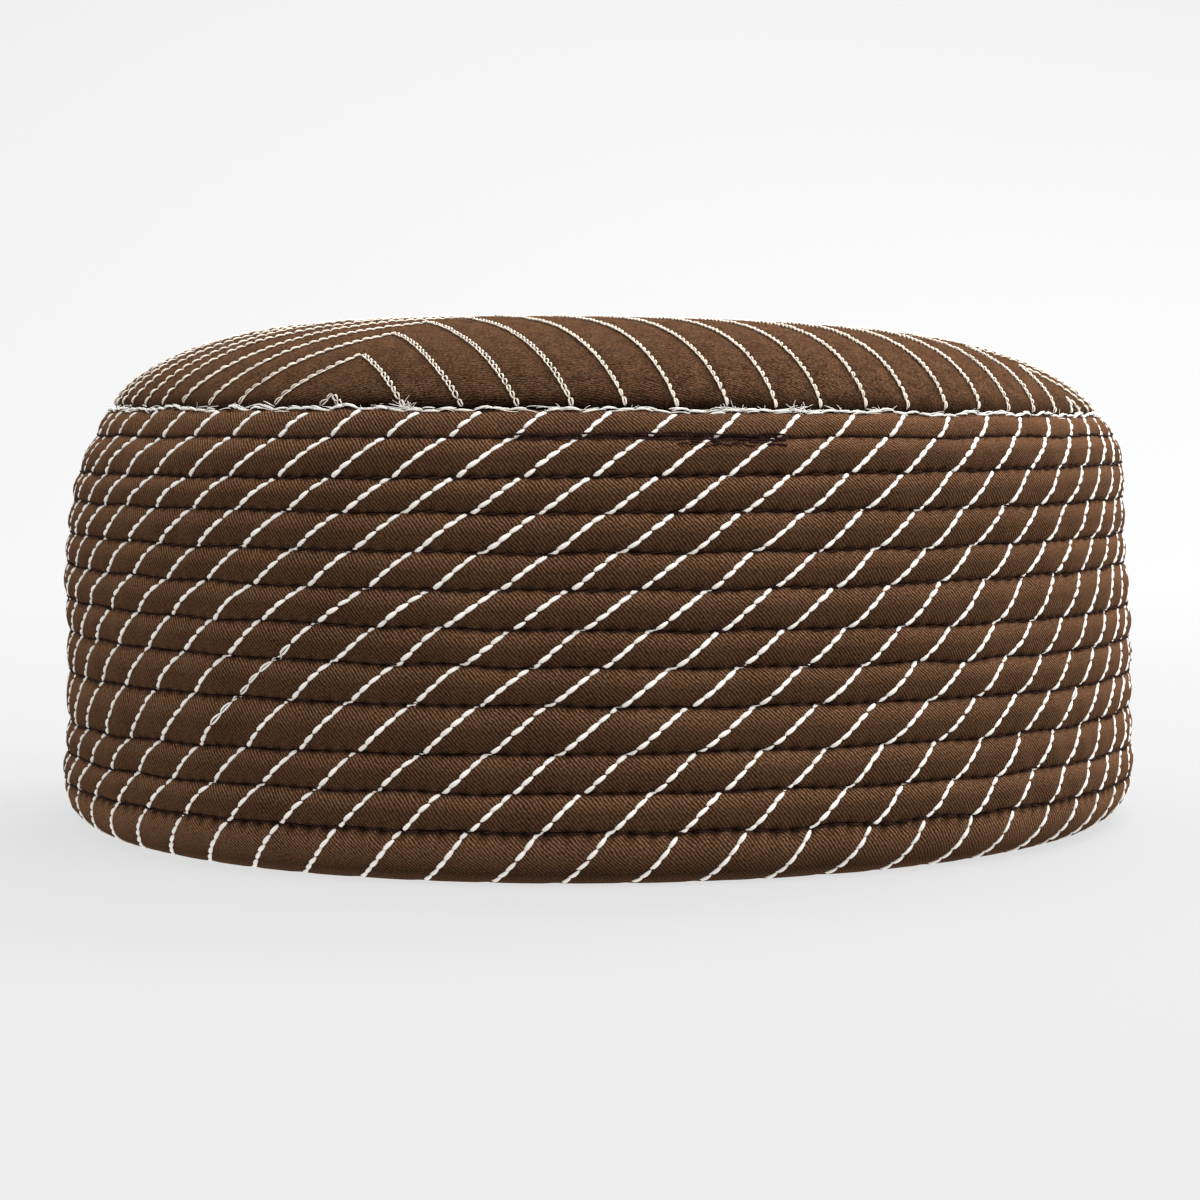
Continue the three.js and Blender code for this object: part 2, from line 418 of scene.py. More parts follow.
def level_drift(s, level):
    """How far one stitched line rises from its table: a lean by the sine of the angle, a bow by
    its square, and a wander. The rim stays on the floor."""
    across = np.sin(oval_angle(s))
    lean = LEVELS["lean"][level] * across
    bow = LEVELS["bow"][level] * (across ** 2 - 0.5)
    wander = wobble(s, 0.0, seed=40 + level, waves=5, shortest=14, longest=90)
    return lean + bow + GROOVE_WANDER * min(level, 1) * wander


def row_drift(s, v):
    """How far the rows rise from their table: each groove leans, bows and wanders a little."""
    drifts = np.array([level_drift(s, level) for level in range(ROWS + 1)])
    across = drifts[0]
    low = np.clip(np.floor(v).astype(int), 0, ROWS - 1)
    part = np.clip(v - low, 0, 1)
    index = np.indices(across.shape)
    below, above = drifts[(low, *index)], drifts[(low + 1, *index)]
    return below + (above - below) * part


def groove_gap(v):
    """Distance up or down to the nearest groove, as in a usual row."""
    return np.abs(v - np.round(v)) * USUAL_ROW


def band_relief(s, v, sizes):
    """Height of the cloth over the plain wall: the swollen row, less the dent of a line of chain
    stitch, with puckers where the lock stitch gathers the cloth and a soft crumple all over."""
    pad = pad_shape(v)
    flatter = 1 - SIDE_FLATTENING * np.sin(oval_angle(s)) ** 4
    uneven = 1 + UNEVENNESS * wobble(s, v, seed=7, waves=6, shortest=9, longest=60)
    dent = np.exp(-(line_distance(s, v) / DENT_WIDTH) ** 2)
    dent = dent * (DENT_IN_GROOVE + (1 - DENT_IN_GROOVE) * pad)
    pucker = PUCKER_DEPTH * stitch_beat(s, sizes) * pad * np.exp(-(groove_gap(v) / PUCKER_WIDTH) ** 2)
    crumple = CRUMPLE_DEPTH * wobble(s, v * CRUMPLE_RATE, seed=11, waves=9, shortest=3.2, longest=12)
    swell = sizes.row_padding / MM * pad * (row_fullness(v) * flatter * uneven)
    return swell - sizes.line_dent / MM * dent - pucker + crumple * np.minimum(pad * 2, 1)


def band_point(s, v, lift, sizes):
    """Points of the band's outer face: the plain section moved out along its normal by the relief
    and a lift, at the oval's angle. Columns x, y, z in millimetres."""
    s, v = np.broadcast_arrays(np.asarray(s, float), np.asarray(v, float))
    height = band_relief(s, v, sizes) + lift
    inset = section_at(v, "inset") - height * section_at(v, "out")
    z = section_at(v, "height") + height * section_at(v, "up") + row_drift(s, v)
    z = np.maximum(z, 0.0)
    angle = oval_angle(s)
    inset = inset + section_at(v, "pinch") * side_share(angle)
    sway = at_level(LEVELS["sway"], v) + at_level(LEVELS["side_sway"], v) * np.sin(angle) ** 2
    return np.stack([*oval_point(angle, inset, sway), z], -1)


def side_share(angle):
    """0 at the front and the back, and near 1 all along the sides: 1 less the cosine's fourth
    power."""
    return 1 - np.cos(angle) ** 4


def oval_point(angle, inset, sway):
    """x and y on the oval that lies inside the widest one by the inset."""
    x = (HALF_WIDTH - inset) * np.sin(angle) + sway
    return x, -(HALF_LENGTH - inset) * np.cos(angle)


def unit(vectors):
    """The vectors, each divided by its length."""
    return vectors / np.maximum(np.linalg.norm(vectors, axis=-1, keepdims=True), 1e-9)


def band_normal(s, v, sizes):
    """Outward normals of the band's padded face, from small steps round and up."""
    step_s, step_v = 0.4, 0.05
    low, high = np.clip(v - step_v, 0.0, ROWS), np.clip(v + step_v, 0.0, ROWS)
    round_it = band_point(s + step_s, v, 0.0, sizes) - band_point(s - step_s, v, 0.0, sizes)
    up_it = band_point(s, high, 0.0, sizes) - band_point(s, low, 0.0, sizes)
    return unit(np.cross(round_it, up_it))


# Shape of the crown


def crown_profile(radius):
    """Height of the crown's profile: 1 at the centre, 0 at the seam, a superellipse between."""
    return np.maximum(0.0, 1 - radius ** EDGE_POWER) ** (1 / TOP_POWER)


def dome_table():
    """Share of the plan radius against the share of the cloth's radius, by length of profile: the
    sum of its chords, and how many mean radii this is."""
    radius = 1 - np.linspace(1, 0, DOME_POINTS) ** 2
    mean = (HALF_WIDTH + HALF_LENGTH) / 2 - SEAM_INSET
    steps = np.hypot(mean * np.diff(radius), CROWN_RISE * np.diff(crown_profile(radius)))
    length = np.concatenate([[0.0], np.cumsum(steps)])
    return radius, length / length[-1], length[-1] / mean


DOME_RADIUS, DOME_SHARE, DOME_STRETCH = dome_table()
CLOTH_WIDTH = (HALF_WIDTH - SEAM_INSET) * DOME_STRETCH
CLOTH_LENGTH = (HALF_LENGTH - SEAM_INSET) * DOME_STRETCH


def chevron_levels(quarter):
    """Distances of a quarter's stitched lines from the arms of the cross, out past the edge: even
    steps and half a sine of crowding."""
    count = np.arange(MOST_LINES)
    even = quarter["first"] * (count > 0) + quarter["step"] * count
    crowd = quarter["crowding"] * np.sin(np.pi * np.minimum(even / CROWDING_SPAN, 1))
    return even + crowd


def cross_axes(quarter):
    """The two directions on the flat cloth that bound a quarter of the cross: its turn and a right
    angle more."""
    turn = CROSS_TURN + quarter * np.pi / 2
    return np.array([np.sin(turn), -np.cos(turn)]), np.array([np.cos(turn), np.sin(turn)])


def chevron_distance(flat):
    """Distance on the flat cloth to the nearest stitched line: in each quarter a point's level is
    the smaller of its distances from the two arms, and the lines are at that quarter's levels."""
    distance = np.full(flat.shape[:-1], 1e3)
    for k, quarter in enumerate(QUARTERS):
        first, second = cross_axes(k)
        a, b = flat @ first, flat @ second
        inside = (a >= -1e-6) & (b >= -1e-6)
        levels = chevron_levels(quarter)
        index = np.interp(np.minimum(a, b), levels, np.arange(len(levels)))
        gap = np.abs(index - np.round(index)) * quarter["step"]
        distance = np.where(inside, gap, distance)
    return distance


def crown_plain(share, angle, depth=0.0):
    """The crown's plain outer face, or a face a wall below it: at a share of the cloth's radius
    and an angle from the front, at the plan radius that the dome gives, on the profile."""
    radius = np.interp(share, DOME_SHARE, DOME_RADIUS)
    inset = SEAM_INSET + depth + TUCK * np.clip((share - TUCK_FROM) / (1 - TUCK_FROM), 0, 1) ** 2
    x = (HALF_WIDTH - inset) * radius * np.sin(angle)
    y = -(HALF_LENGTH - inset) * radius * np.cos(angle)
    rise = CROWN_RISE - depth + LEAN_X * x + LEAN_Y * y
    seam = level_drift(np.interp(angle, OVAL_ANGLE, OVAL_LENGTH), ROWS)
    z = LEVELS["height"][-1] + rise * crown_profile(radius) + seam * share ** 3
    return np.stack([x + LEVELS["sway"][-1], y, z], -1)


def crown_normal(share, angle):
    """Outward normals of the crown's plain face, from small steps out and round."""
    step = 0.006
    near, far = np.clip(share - step, 0.0, 0.99), np.clip(share + step, 2 * step, 1.0)
    out = crown_plain(far, angle) - crown_plain(near, angle)
    middle = np.maximum(share, 0.01)
    round_it = crown_plain(middle, angle + 0.01) - crown_plain(middle, angle - 0.01)
    return unit(np.cross(out, round_it))


def crown_relief(flat, share, sizes):
    """Height of the crown's cloth over its plain face: the padding between the stitched lines,
    sunk at each line by an exponential, flat at the seam, with a soft crumple of two sines."""
    pad = 1 - np.exp(-(chevron_distance(flat) / CROWN_PAD["reach"]) ** CROWN_PAD["power"])
    crumple = sum(depth * np.sin(flat[..., k] * fine + 2 * np.sin(flat[..., 1 - k] * broad))
                  for k, (depth, fine, broad) in enumerate(CROWN_CRUMPLE))
    edge = 1 - np.clip(share, 0, 1) ** CROWN_PAD["edge"]
    return (sizes.crown_padding / MM + crumple) * pad * edge


def polar(flat):
    """Share of the cloth's radius, and angle from the front, of points on the flat cloth."""
    a, b = flat[..., 0] / CLOTH_WIDTH, -flat[..., 1] / CLOTH_LENGTH
    return np.minimum(np.hypot(a, b), 1.0), np.arctan2(a, b)


def crown_point(flat, lift, sizes):
    """Points and normals of the crown's padded face over points of its flat cloth."""
    share, angle = polar(flat)
    normal = crown_normal(share, angle)
    height = crown_relief(flat, share, sizes) + lift
    return crown_plain(share, angle) + normal * height[..., None], normal


# Meshes


def mesh_object(name, points, faces, uv, attributes, material):
    """A mesh in metres from points in millimetres and arrays of faces that have like corners.
    uv has a pair for each corner in the order of the faces, attributes a number for each point."""
    mesh = bpy.data.meshes.new(name)
    corners = np.concatenate([f.ravel() for f in faces]).astype(np.int32)
    sizes = np.concatenate([np.full(len(f), f.shape[1]) for f in faces]).astype(np.int32)
    starts = np.concatenate([[0], np.cumsum(sizes)[:-1]]).astype(np.int32)
    mesh.vertices.add(len(points))
    mesh.vertices.foreach_set("co", (points * MM).astype(np.float32).ravel())
    mesh.loops.add(len(corners))
    mesh.loops.foreach_set("vertex_index", corners)
    mesh.polygons.add(len(sizes))
    mesh.polygons.foreach_set("loop_start", starts)
    mesh.polygons.foreach_set("use_smooth", np.ones(len(sizes), bool))
    mesh.update(calc_edges=True)
    layer = mesh.uv_layers.new(name="cloth")
    layer.data.foreach_set("uv", (uv * MM).astype(np.float32).ravel())
    for key, values in attributes.items():
        made = mesh.attributes.new(key, "FLOAT", "POINT")
        made.data.foreach_set("value", values.astype(np.float32).ravel())
    mesh.materials.append(material)
    mesh.validate()
    made = bpy.data.objects.new(name, mesh)
    bpy.context.scene.collection.objects.link(made)
    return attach(made, BODY)


def ring_faces(rows, columns, closed_rows):
    """Quads of a grid whose columns close on themselves, and whose rows may, facing out when the
    columns run round from the front towards +X and the rows run up. Also their corners' grid places."""
    i = np.arange(rows if closed_rows else rows - 1)
    j = np.arange(columns)
    i, j = (a.ravel() for a in np.meshgrid(i, j, indexing="ij"))
    row_corner = np.stack([i, i, i + 1, i + 1], -1)
    column_corner = np.stack([j, j + 1, j + 1, j], -1)
    faces = (row_corner % rows) * columns + column_corner % columns
    return faces, row_corner, column_corner


# Places of the points up one row of the band, crowded into its grooves, up a channel inside it and
# up the inside of the rim's curl, and how many columns of them go round
ROW_STOPS = np.array([0.0, 0.035, 0.1, 0.24, 0.46, 0.68, 0.85, 0.92, 0.97])
INNER_STOPS = np.array([0.0, 0.5])
CURL_STOPS = np.array([0.0, 0.2, 0.45, 0.7, 0.9])
TOP_STOP = ROWS - 0.002
BAND_COLUMNS = 720


def band_grid(sizes):
    """The closed skin of the band: up the padded outer face, over the edge at the seam, down the
    shallower inner channels and under the rim. Gives points, lengths of cloth and shade."""
    s = np.linspace(-GIRTH / 2, GIRTH / 2, BAND_COLUMNS, endpoint=False)
    v = np.append(np.add.outer(np.arange(ROWS), ROW_STOPS), TOP_STOP)
    outer = band_point(s[None, :], v[:, None], 0.0, sizes)
    inner_v = np.append(np.add.outer(np.arange(1, ROWS), INNER_STOPS), ROWS)
    swell = INNER_PADDING * np.sin(np.pi * (inner_v % 1)) ** INNER_ROUNDNESS
    inner_inset = section_at(inner_v, "inset") + BAND_WALL + swell
    inner_height = section_at(inner_v, "height")
    quarter = np.pi / 2 * CURL_STOPS
    out = np.sin(quarter) ** (2 / RIM_CURL_POWER)
    wall_inset, rim_inset = inner_inset[0], LEVELS["inset"][0] + RIM_FLAT_WIDTH
    curl_inset = wall_inset + (rim_inset - wall_inset) * (1 - out)
    curl_height = FIRST_GROOVE * (1 - np.cos(quarter) ** (2 / RIM_CURL_POWER))
    inset = np.concatenate([curl_inset, inner_inset])[::-1, None]
    height = np.concatenate([curl_height, inner_height])[::-1, None]
    pinch = np.concatenate([RIM_SIDE_PINCH * (1 - out), 0 * inner_inset])[::-1, None]
    sway = at_level(LEVELS["sway"], np.concatenate([CURL_STOPS, inner_v]))[::-1, None]
    angle = oval_angle(s)[None, :]
    x, y = oval_point(angle, inset + pinch * side_share(angle), sway)
    inner = np.stack(np.broadcast_arrays(x, y, height), -1)
    points = np.concatenate([outer, inner])
    steps = np.linalg.norm(np.diff(points[:, 0], axis=0), axis=-1)
    cloth = np.concatenate([cloth_at(v), cloth_at(ROWS) + np.cumsum(steps[len(v) - 1:])])
    shade = np.concatenate([groove_shade(s[None, :], v[:, None], sizes), np.zeros(inner.shape[:2])])
    return points, cloth, shade


def make_band_cloth(sizes, material):
    """The band's cloth, laid flat by its length round and up."""
    points, cloth, shade = band_grid(sizes)
    faces, row_corner, column_corner = ring_faces(len(points), BAND_COLUMNS, True)
    cloth_end = np.append(cloth, cloth[-1] + RIM_FLAT_WIDTH)
    uv = np.stack([column_corner * GIRTH / BAND_COLUMNS - GIRTH / 2, cloth_end[row_corner]], -1)
    # the groove attribute carries the painted shade of the rows, of the grooves and of the shadow under
    # the rim
    made = mesh_object("band_cloth", points.reshape(-1, 3), [faces], uv.reshape(-1, 2),
                       {"groove": shade}, material)
    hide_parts("band")
    return made


# The rings of points of the crown's cloth, finer from a share of its radius on: how many lie on its
# top up to there and beyond, and inside; and how many columns go round
FINER_FROM = 0.9
TOP_RINGS, EDGE_RINGS = 84, 24
INNER_TOP_RINGS, INNER_EDGE_RINGS = 14, 5
CROWN_COLUMNS = 600


def make_crown_cloth(sizes, material):
    """The crown's cloth: the padded outer face from the centre to the seam, and the plain inner face
    back to the centre, each centre one point. Its colour carries painted shade: darker on the side of
    -X, where less light falls, darker along its stitched lines, and dark in the crease at the seam."""
    columns = CROWN_COLUMNS
    share = np.concatenate([np.linspace(0, FINER_FROM, TOP_RINGS)[1:],
                            np.linspace(FINER_FROM, 1, EDGE_RINGS)[1:]])
    angle = np.linspace(-np.pi, np.pi, columns, endpoint=False)
    inner_share = np.concatenate([np.linspace(1, FINER_FROM, INNER_EDGE_RINGS),
                                  np.linspace(FINER_FROM, 0, INNER_TOP_RINGS)[1:-1]])

    def flat_of(shares):
        """Points of the flat cloth all round, at shares of its radius."""
        return np.stack(np.broadcast_arrays(
            shares[:, None] * CLOTH_WIDTH * np.sin(angle),
            -shares[:, None] * CLOTH_LENGTH * np.cos(angle)), -1)

    outer_flat, inner_flat = flat_of(share), flat_of(inner_share)
    outer, _ = crown_point(outer_flat, np.zeros(outer_flat.shape[:-1]), sizes)
    inner = crown_plain(inner_share[:, None], angle[None, :], CROWN_WALL)
    tip, _ = crown_point(np.zeros((1, 2)), np.zeros(1), sizes)
    bottom = crown_plain(np.zeros(1), np.zeros(1), CROWN_WALL)
    grid = np.concatenate([outer, inner])
    rows = len(grid)
    points = np.concatenate([grid.reshape(-1, 3), tip, bottom])
    quads, _, _ = ring_faces(rows, columns, False)
    quads = quads[:, ::-1]
    j = np.arange(columns)
    after = (j + 1) % columns
    top_fan = np.stack([np.full(columns, rows * columns), j, after], -1)
    base = (rows - 1) * columns
    bottom_fan = np.stack([np.full(columns, rows * columns + 1), base + after, base + j], -1)
    flat = np.concatenate([outer_flat.reshape(-1, 2), inner_flat.reshape(-1, 2), np.zeros((2, 2))])
    # painted shade along the sunk stitched lines, in the crease at the seam and on the side of -X
    line = CROWN_SHADE["line"] * np.exp(-(chevron_distance(outer_flat) / CROWN_SHADE["width"]) ** 2)
    crease = np.clip((share - CROWN_SHADE["crease"]) / (1 - CROWN_SHADE["crease"]), 0, 1)[:, None]
    across = outer[..., 0] / HALF_WIDTH / CROWN_SHADE["fade"]
    side_shade = CROWN_SHADE["side_shade"] * np.clip(0.5 - across, 0, 1)
    shade = np.maximum(line + side_shade, crease)
    shade = np.concatenate([shade.ravel(), np.zeros(inner_flat.shape[0] * columns + 2)])
    uv = np.concatenate([flat[quads].reshape(-1, 2), flat[top_fan].reshape(-1, 2),
                         flat[bottom_fan].reshape(-1, 2)])
    # the groove attribute carries that painted shade
    made = mesh_object("crown_cloth", points, [quads, top_fan, bottom_fan], uv,
                       {"groove": shade}, material)
    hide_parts("crown")
    return made


# Thread


# Places of the sections along one stitch, how unevenly stitches start beside the pitch, and how far
# their thickness varies
SECTIONS = np.linspace(0, 1, 5)
CHAIN_JITTER, LOCK_JITTER = 0.07, 0.06
CHAIN_THICKNESS, LOCK_THICKNESS = (0.92, 1.08), (0.9, 1.1)

# How far a chain stitch reaches beside the pitch, how far it leans to one side and how unevenly,
# how much its arch varies and how round this is; how early a loop is widest, how much higher its
# one strand lies, and how late a strand thins towards its ends
CHAIN_REACH = (1.04, 1.15)
CHAIN_LEAN = -0.182
CHAIN_LEAN_SPREAD = 0.098
ARCH_SPREAD = (0.7, 1.3)
ARCH_ROUNDNESS = 0.7
LOOP_SKEW = 0.85
STRAND_STEP = 0.03
CHAIN_TAPER_POWER = 2.1

# In shares of the thread, how deep the ends of a lock stitch are sunk and how high it arches; how
# round its arch is, how much it thins towards its ends and how late; and in a groove, the share of
# the pitch that is open between two stitches, and how far one strays to a side
LOCK_SUNK, LOCK_ARCH, LOCK_ROUNDNESS = 0.7, 0.9, 0.6
LOCK_TAPER, LOCK_TAPER_POWER = 0.35, 3
LOCK_GAP, LOCK_SWAY = 0.14, 0.12


def even_starts(path, pitch, jitter, draw):
    """Running lengths of a dense path of points and normals, its sideways directions, the step of
    the stitches that fit it best, and where they start: at each step, but for a random part."""
    points, normals = path
    length = np.concatenate([[0.0], np.cumsum(np.linalg.norm(np.diff(points, axis=0), axis=1))])
    side = unit(np.cross(normals, unit(np.gradient(points, axis=0))))
    count = max(1, int(round(length[-1] / pitch)))
    step = length[-1] / count
    return length, side, step, step * (np.arange(count) + draw.uniform(-jitter, jitter, count))


def path_frames(path, side, length, wanted):
    """The places, normals and sideways directions of a path at the wanted running lengths."""
    wanted = np.clip(wanted, 0, length[-1])
    centre, up, across = (
        np.stack([np.interp(wanted, length, values[:, k]) for k in range(3)], -1)
        for values in (*path, side))
    return centre, unit(up), unit(across)


def tubes(centres, sides, ups, radii, corners):
    """Closed tubes through arrays of centres (tube, section, xyz): rings of corners at angles
    round each centre, by the cosine sideways and the sine up. Gives points, faces and uv."""
    count, sections = centres.shape[:2]
    turn = 2 * np.pi * np.arange(corners) / corners
    rings = (np.cos(turn)[:, None] * sides[:, :, None, :]
             + np.sin(turn)[:, None] * ups[:, :, None, :])
    points = centres[:, :, None, :] + radii[:, :, None, None] * rings
    first = (np.arange(count) * sections * corners)[:, None, None]
    m = np.arange(sections - 1)[None, :, None] * corners
    a = np.arange(corners)[None, None, :]
    b = (a + 1) % corners
    quads = np.stack(np.broadcast_arrays(
        first + m + a, first + m + b, first + m + corners + b, first + m + corners + a), -1)
    start = first[:, 0] + np.arange(corners)[::-1]
    end = first[:, 0] + (sections - 1) * corners + np.arange(corners)
    quads = quads.reshape(-1, 4)
    caps = np.concatenate([start, end])
    run = np.concatenate([np.zeros((count, 1)),
                          np.cumsum(np.linalg.norm(np.diff(centres, axis=1), axis=-1), axis=1)], 1)
    point_uv = np.stack(np.broadcast_arrays(
        run[:, :, None], np.broadcast_to(np.arange(corners), (count, sections, corners))), -1)
    point_uv = point_uv.reshape(-1, 2).astype(float)
    uv = np.concatenate([point_uv[quads].reshape(-1, 2), point_uv[caps].reshape(-1, 2)])
    return points.reshape(-1, 3), [quads, caps], uv


# How a line of chain stitch looks: its pitch and thread beside the sizes, the strands that show of
# a loop, which is 1 where they lie against each other, and how wide each is beside its height, how
# far apart the two are always, and how much further at the most, their thinning at the loop's ends,
# how deep the ends are sunk, how high the whole line lies and arches, and how round a loop is
CHAIN_COLUMNS = ("pitch", "thread", "strands", "wide", "apart", "openness", "taper", "sunk", "lift",
                 "arch", "roundness")
CHAIN_ROWS = {
    "band": (1.0, 0.94, 1, 1.48, 0.0, 0.0, 0.56, 0.3, 0.0, 0.25, 0.9),
    "band_loose": (1.2, 0.66, 2, 1.0, 0.62, 0.35, 0.5, 0.3, 0.1, 0.3, 0.7),
    "crown": (0.72, 0.52, 2, 1.0, 0.85, 0.45, 0.4, 0.3, 0.55, 0.8, 0.6),
    "crown_tight": (0.76, 0.6, 2, 1.0, 0.45, 0.3, 0.6, 0.3, 0.5, 0.8, 0.8),
}
CHAIN_LOOKS = {name: dict(zip(CHAIN_COLUMNS, row)) for name, row in CHAIN_ROWS.items()}


def chain_stitches(path, sizes, look, draw):
    """One or two strands for each chain stitch of a line. From where it comes up, each of two
    strands swings out to its side by a sine and back to where the next stitch holds the loop down,
    and all arch over the cloth by a sine; every stitch is a little longer than the pitch, so it
    overlaps the next."""
    look = CHAIN_LOOKS[look]
    pitch, thread = sizes.chain_length / MM * look["pitch"], sizes.chain_thread / MM * look["thread"]
    length, side, step, starts = even_starts(path, pitch, CHAIN_JITTER, draw)
    count, f = len(starts), SECTIONS
    reach = step * draw.uniform(*CHAIN_REACH, count)
    centre, up, across = path_frames(path, side, length, starts[:, None] + reach[:, None] * f)
    width = thread * (look["apart"] + look["openness"] * draw.uniform(0, 1, count))
    lean = draw.normal(0, CHAIN_LEAN_SPREAD, count) + CHAIN_LEAN
    arch = thread * look["arch"] * draw.uniform(*ARCH_SPREAD, count)
    strands = []
    hands = (0,) if look["strands"] == 1 else (-1, 1)
    for hand in hands:
        swing = hand * width[:, None] * np.sin(np.pi * f ** LOOP_SKEW) ** look["roundness"]
        swing = swing + lean[:, None] * (f - 0.5)
        rise = thread * look["lift"] + arch[:, None] * np.sin(np.pi * f) ** ARCH_ROUNDNESS
        rise = rise + hand * STRAND_STEP * thread - thread * look["sunk"] * (f == 0)
        strands.append(centre + across * swing[..., None] + up * rise[..., None])
    radius = thread / 2 * (1 - look["taper"] * np.abs(2 * f - 1) ** CHAIN_TAPER_POWER)
    radius = radius * draw.uniform(*CHAIN_THICKNESS, (count, 1))
    repeats = len(hands)
    return {
        "centres": np.concatenate(strands), "sides": np.tile(across * look["wide"], (repeats, 1, 1)),
        "ups": np.tile(up, (repeats, 1, 1)), "radii": np.tile(radius, (repeats, 1)),
        "tone": np.tile(draw.uniform(0, 1, count), repeats)}


def lock_stitches(path, pitch, thread, lift, draw, gap=LOCK_GAP, sway=LOCK_SWAY):
    """One strand for each lock stitch of a line: it leaves the cloth, arches over by a sine and
    dives in again just before the next one."""
    length, side, step, starts = even_starts(path, pitch, LOCK_JITTER, draw)
    count, f = len(starts), SECTIONS
    wanted = starts[:, None] + step * (1 - gap) * f
    centre, up, across = path_frames(path, side, length, wanted)
    rise = lift - thread * LOCK_SUNK + thread * LOCK_ARCH * np.sin(np.pi * f) ** LOCK_ROUNDNESS
    drift = draw.normal(0, sway, (count, 1)) + draw.normal(0, sway, (count, 1)) * (f - 0.5)
    centres = centre + up * rise[None, :, None] + across * drift[..., None]
    radii = thread / 2 * (1 - LOCK_TAPER * np.abs(2 * f - 1) ** LOCK_TAPER_POWER)
    radii = radii * draw.uniform(*LOCK_THICKNESS, (count, 1))
    return {"centres": centres, "sides": across, "ups": up, "radii": radii,
            "tone": draw.uniform(0, 1, count)}


def thread_object(name, strands, corners, material):
    """One mesh of many short strands of thread that have as many sections as each other."""
    joined = {key: np.concatenate([s[key] for s in strands]) for key in strands[0]}
    points, faces, uv = tubes(joined["centres"], joined["sides"], joined["ups"],
                              joined["radii"], corners)
    per_tube = joined["centres"].shape[1] * corners
    tone = np.repeat(joined["tone"], per_tube)
    return mesh_object(name, points, faces, uv, {"tone": tone}, material)


# A slanting line's ends on the row coordinate, and how deep and how widely it dips where it crosses
# a groove
LINE_FOOT, LINE_TOP = 0.2, ROWS - 0.12
DIP_DEPTH = 0.22
DIP_WIDTH = 0.3
LINE_POINTS = 1200

# Its stretches and how they are sewn: as a whole, and with the loose stretch that one line of each
# piece has
WHOLE_LINE = ((LINE_FOOT, LINE_TOP, "band"),)
LOOSE_LINE = ((LINE_FOOT, 3.4, "band"), (3.4, 5.4, "band_loose"), (5.4, LINE_TOP, "band"))
LOOSE_PLACE = 9


def band_line(index, low, high, sizes):
    """The path of a stretch of one slanting line, which dips under the lock stitch where it
    crosses a groove."""
    v = np.linspace(low, high, LINE_POINTS)
    start = LINE_START + index * GIRTH / LINE_COUNT
    s = start + line_slide(start + line_slide(start, v), v)
    crosses = (v > 0.5) & (v < ROWS - 0.5)
    dip = DIP_DEPTH * crosses * np.exp(-(groove_gap(v) / DIP_WIDTH) ** 2)
    return band_point(s, v, -dip, sizes), band_normal(s, v, sizes)


def make_band_chain(sizes, material):
    """The slanting lines of white chain stitch, in four pieces of fifteen lines."""
    draw = np.random.default_rng(101)
    quarter = LINE_COUNT // 4
    for part, place in enumerate(("front", "right", "back", "left")):
        lines = [chain_stitches(band_line(part * quarter + k, low, high, sizes), sizes, look, draw)
                 for k in range(quarter)
                 for low, high, look in (LOOSE_LINE if k == LOOSE_PLACE else WHOLE_LINE)]
        thread_object("band_chain_" + place, lines, 8, material)


def edge_distance(start, direction):
    """How far from a point of the flat cloth, in a direction, its oval edge lies: the far root of
    the quadratic that the scaled oval gives."""
    scale = np.array([CLOTH_WIDTH, CLOTH_LENGTH])
    p, d = start / scale, direction / scale
    a, b, c = d @ d, p @ d, p @ p - 1
    return (math.sqrt(max(0.0, b * b - a * c)) - b) / a


# How far inside the seam a chevron ends, the share of the cloth's radius past which no chevron has
# its point, and how many lines from the cross on are sewn tight
SEAM_MARGIN = 0.7
LAST_TIP = 0.985
TIGHT_LINES = 5
ARM_POINTS = 420


def chevron_paths(quarter, sizes):
    """The paths of one quarter: the arm of the cross that starts it, and each nested chevron from
    the edge in to its point and out again."""
    first, second = cross_axes(quarter)
    samples = np.linspace(0, 1, ARM_POINTS)[:, None]
    lines = [samples * first * (edge_distance(np.zeros(2), first) - SEAM_MARGIN)]
    for level in chevron_levels(QUARTERS[quarter])[1:]:
        tip = level * (first + second)
        if np.hypot(tip[0] / CLOTH_WIDTH, tip[1] / CLOTH_LENGTH) > LAST_TIP:
            break
        start = tip + first * (edge_distance(tip, first) - SEAM_MARGIN)
        end = tip + second * (edge_distance(tip, second) - SEAM_MARGIN)
        lines.append(np.concatenate([start + (tip - start) * samples,
                                     tip + (end - tip) * samples[1:]]))
    return [crown_point(flat, np.zeros(len(flat)), sizes) for flat in lines]


def make_crown_chain(sizes, material):
    """The chevrons of white chain stitch, a piece for each two quarters."""
    draw = np.random.default_rng(202)
    for name, quarters in (("crown_chain_front", (3, 0)), ("crown_chain_back", (1, 2))):
        lines = [chain_stitches(path, sizes, "crown_tight" if level < TIGHT_LINES else "crown", draw)
                 for quarter in quarters
                 for level, path in enumerate(chevron_paths(quarter, sizes))]
        thread_object(name, lines, 4, material)


# Points to a millimetre along a groove's path, and how many rows off the groove its normals are
# taken
GROOVE_DENSITY = 4
BESIDE_GROOVE = 0.28


def groove_path(row, first, last, drop, sizes):
    """The path of the lock stitch in one groove, between two lengths round the oval. Its normals
    are the means of those on both sides of the groove."""
    s = np.linspace(first, last, int((last - first) * GROOVE_DENSITY))
    v = np.full(len(s), row + drop)
    normal = unit(band_normal(s, v - BESIDE_GROOVE, sizes) + band_normal(s, v + BESIDE_GROOVE, sizes))
    return band_point(s, v, 0.0, sizes), normal


# How high the lock stitch lies over a groove's bottom
LOCK_LIFT = 0.3

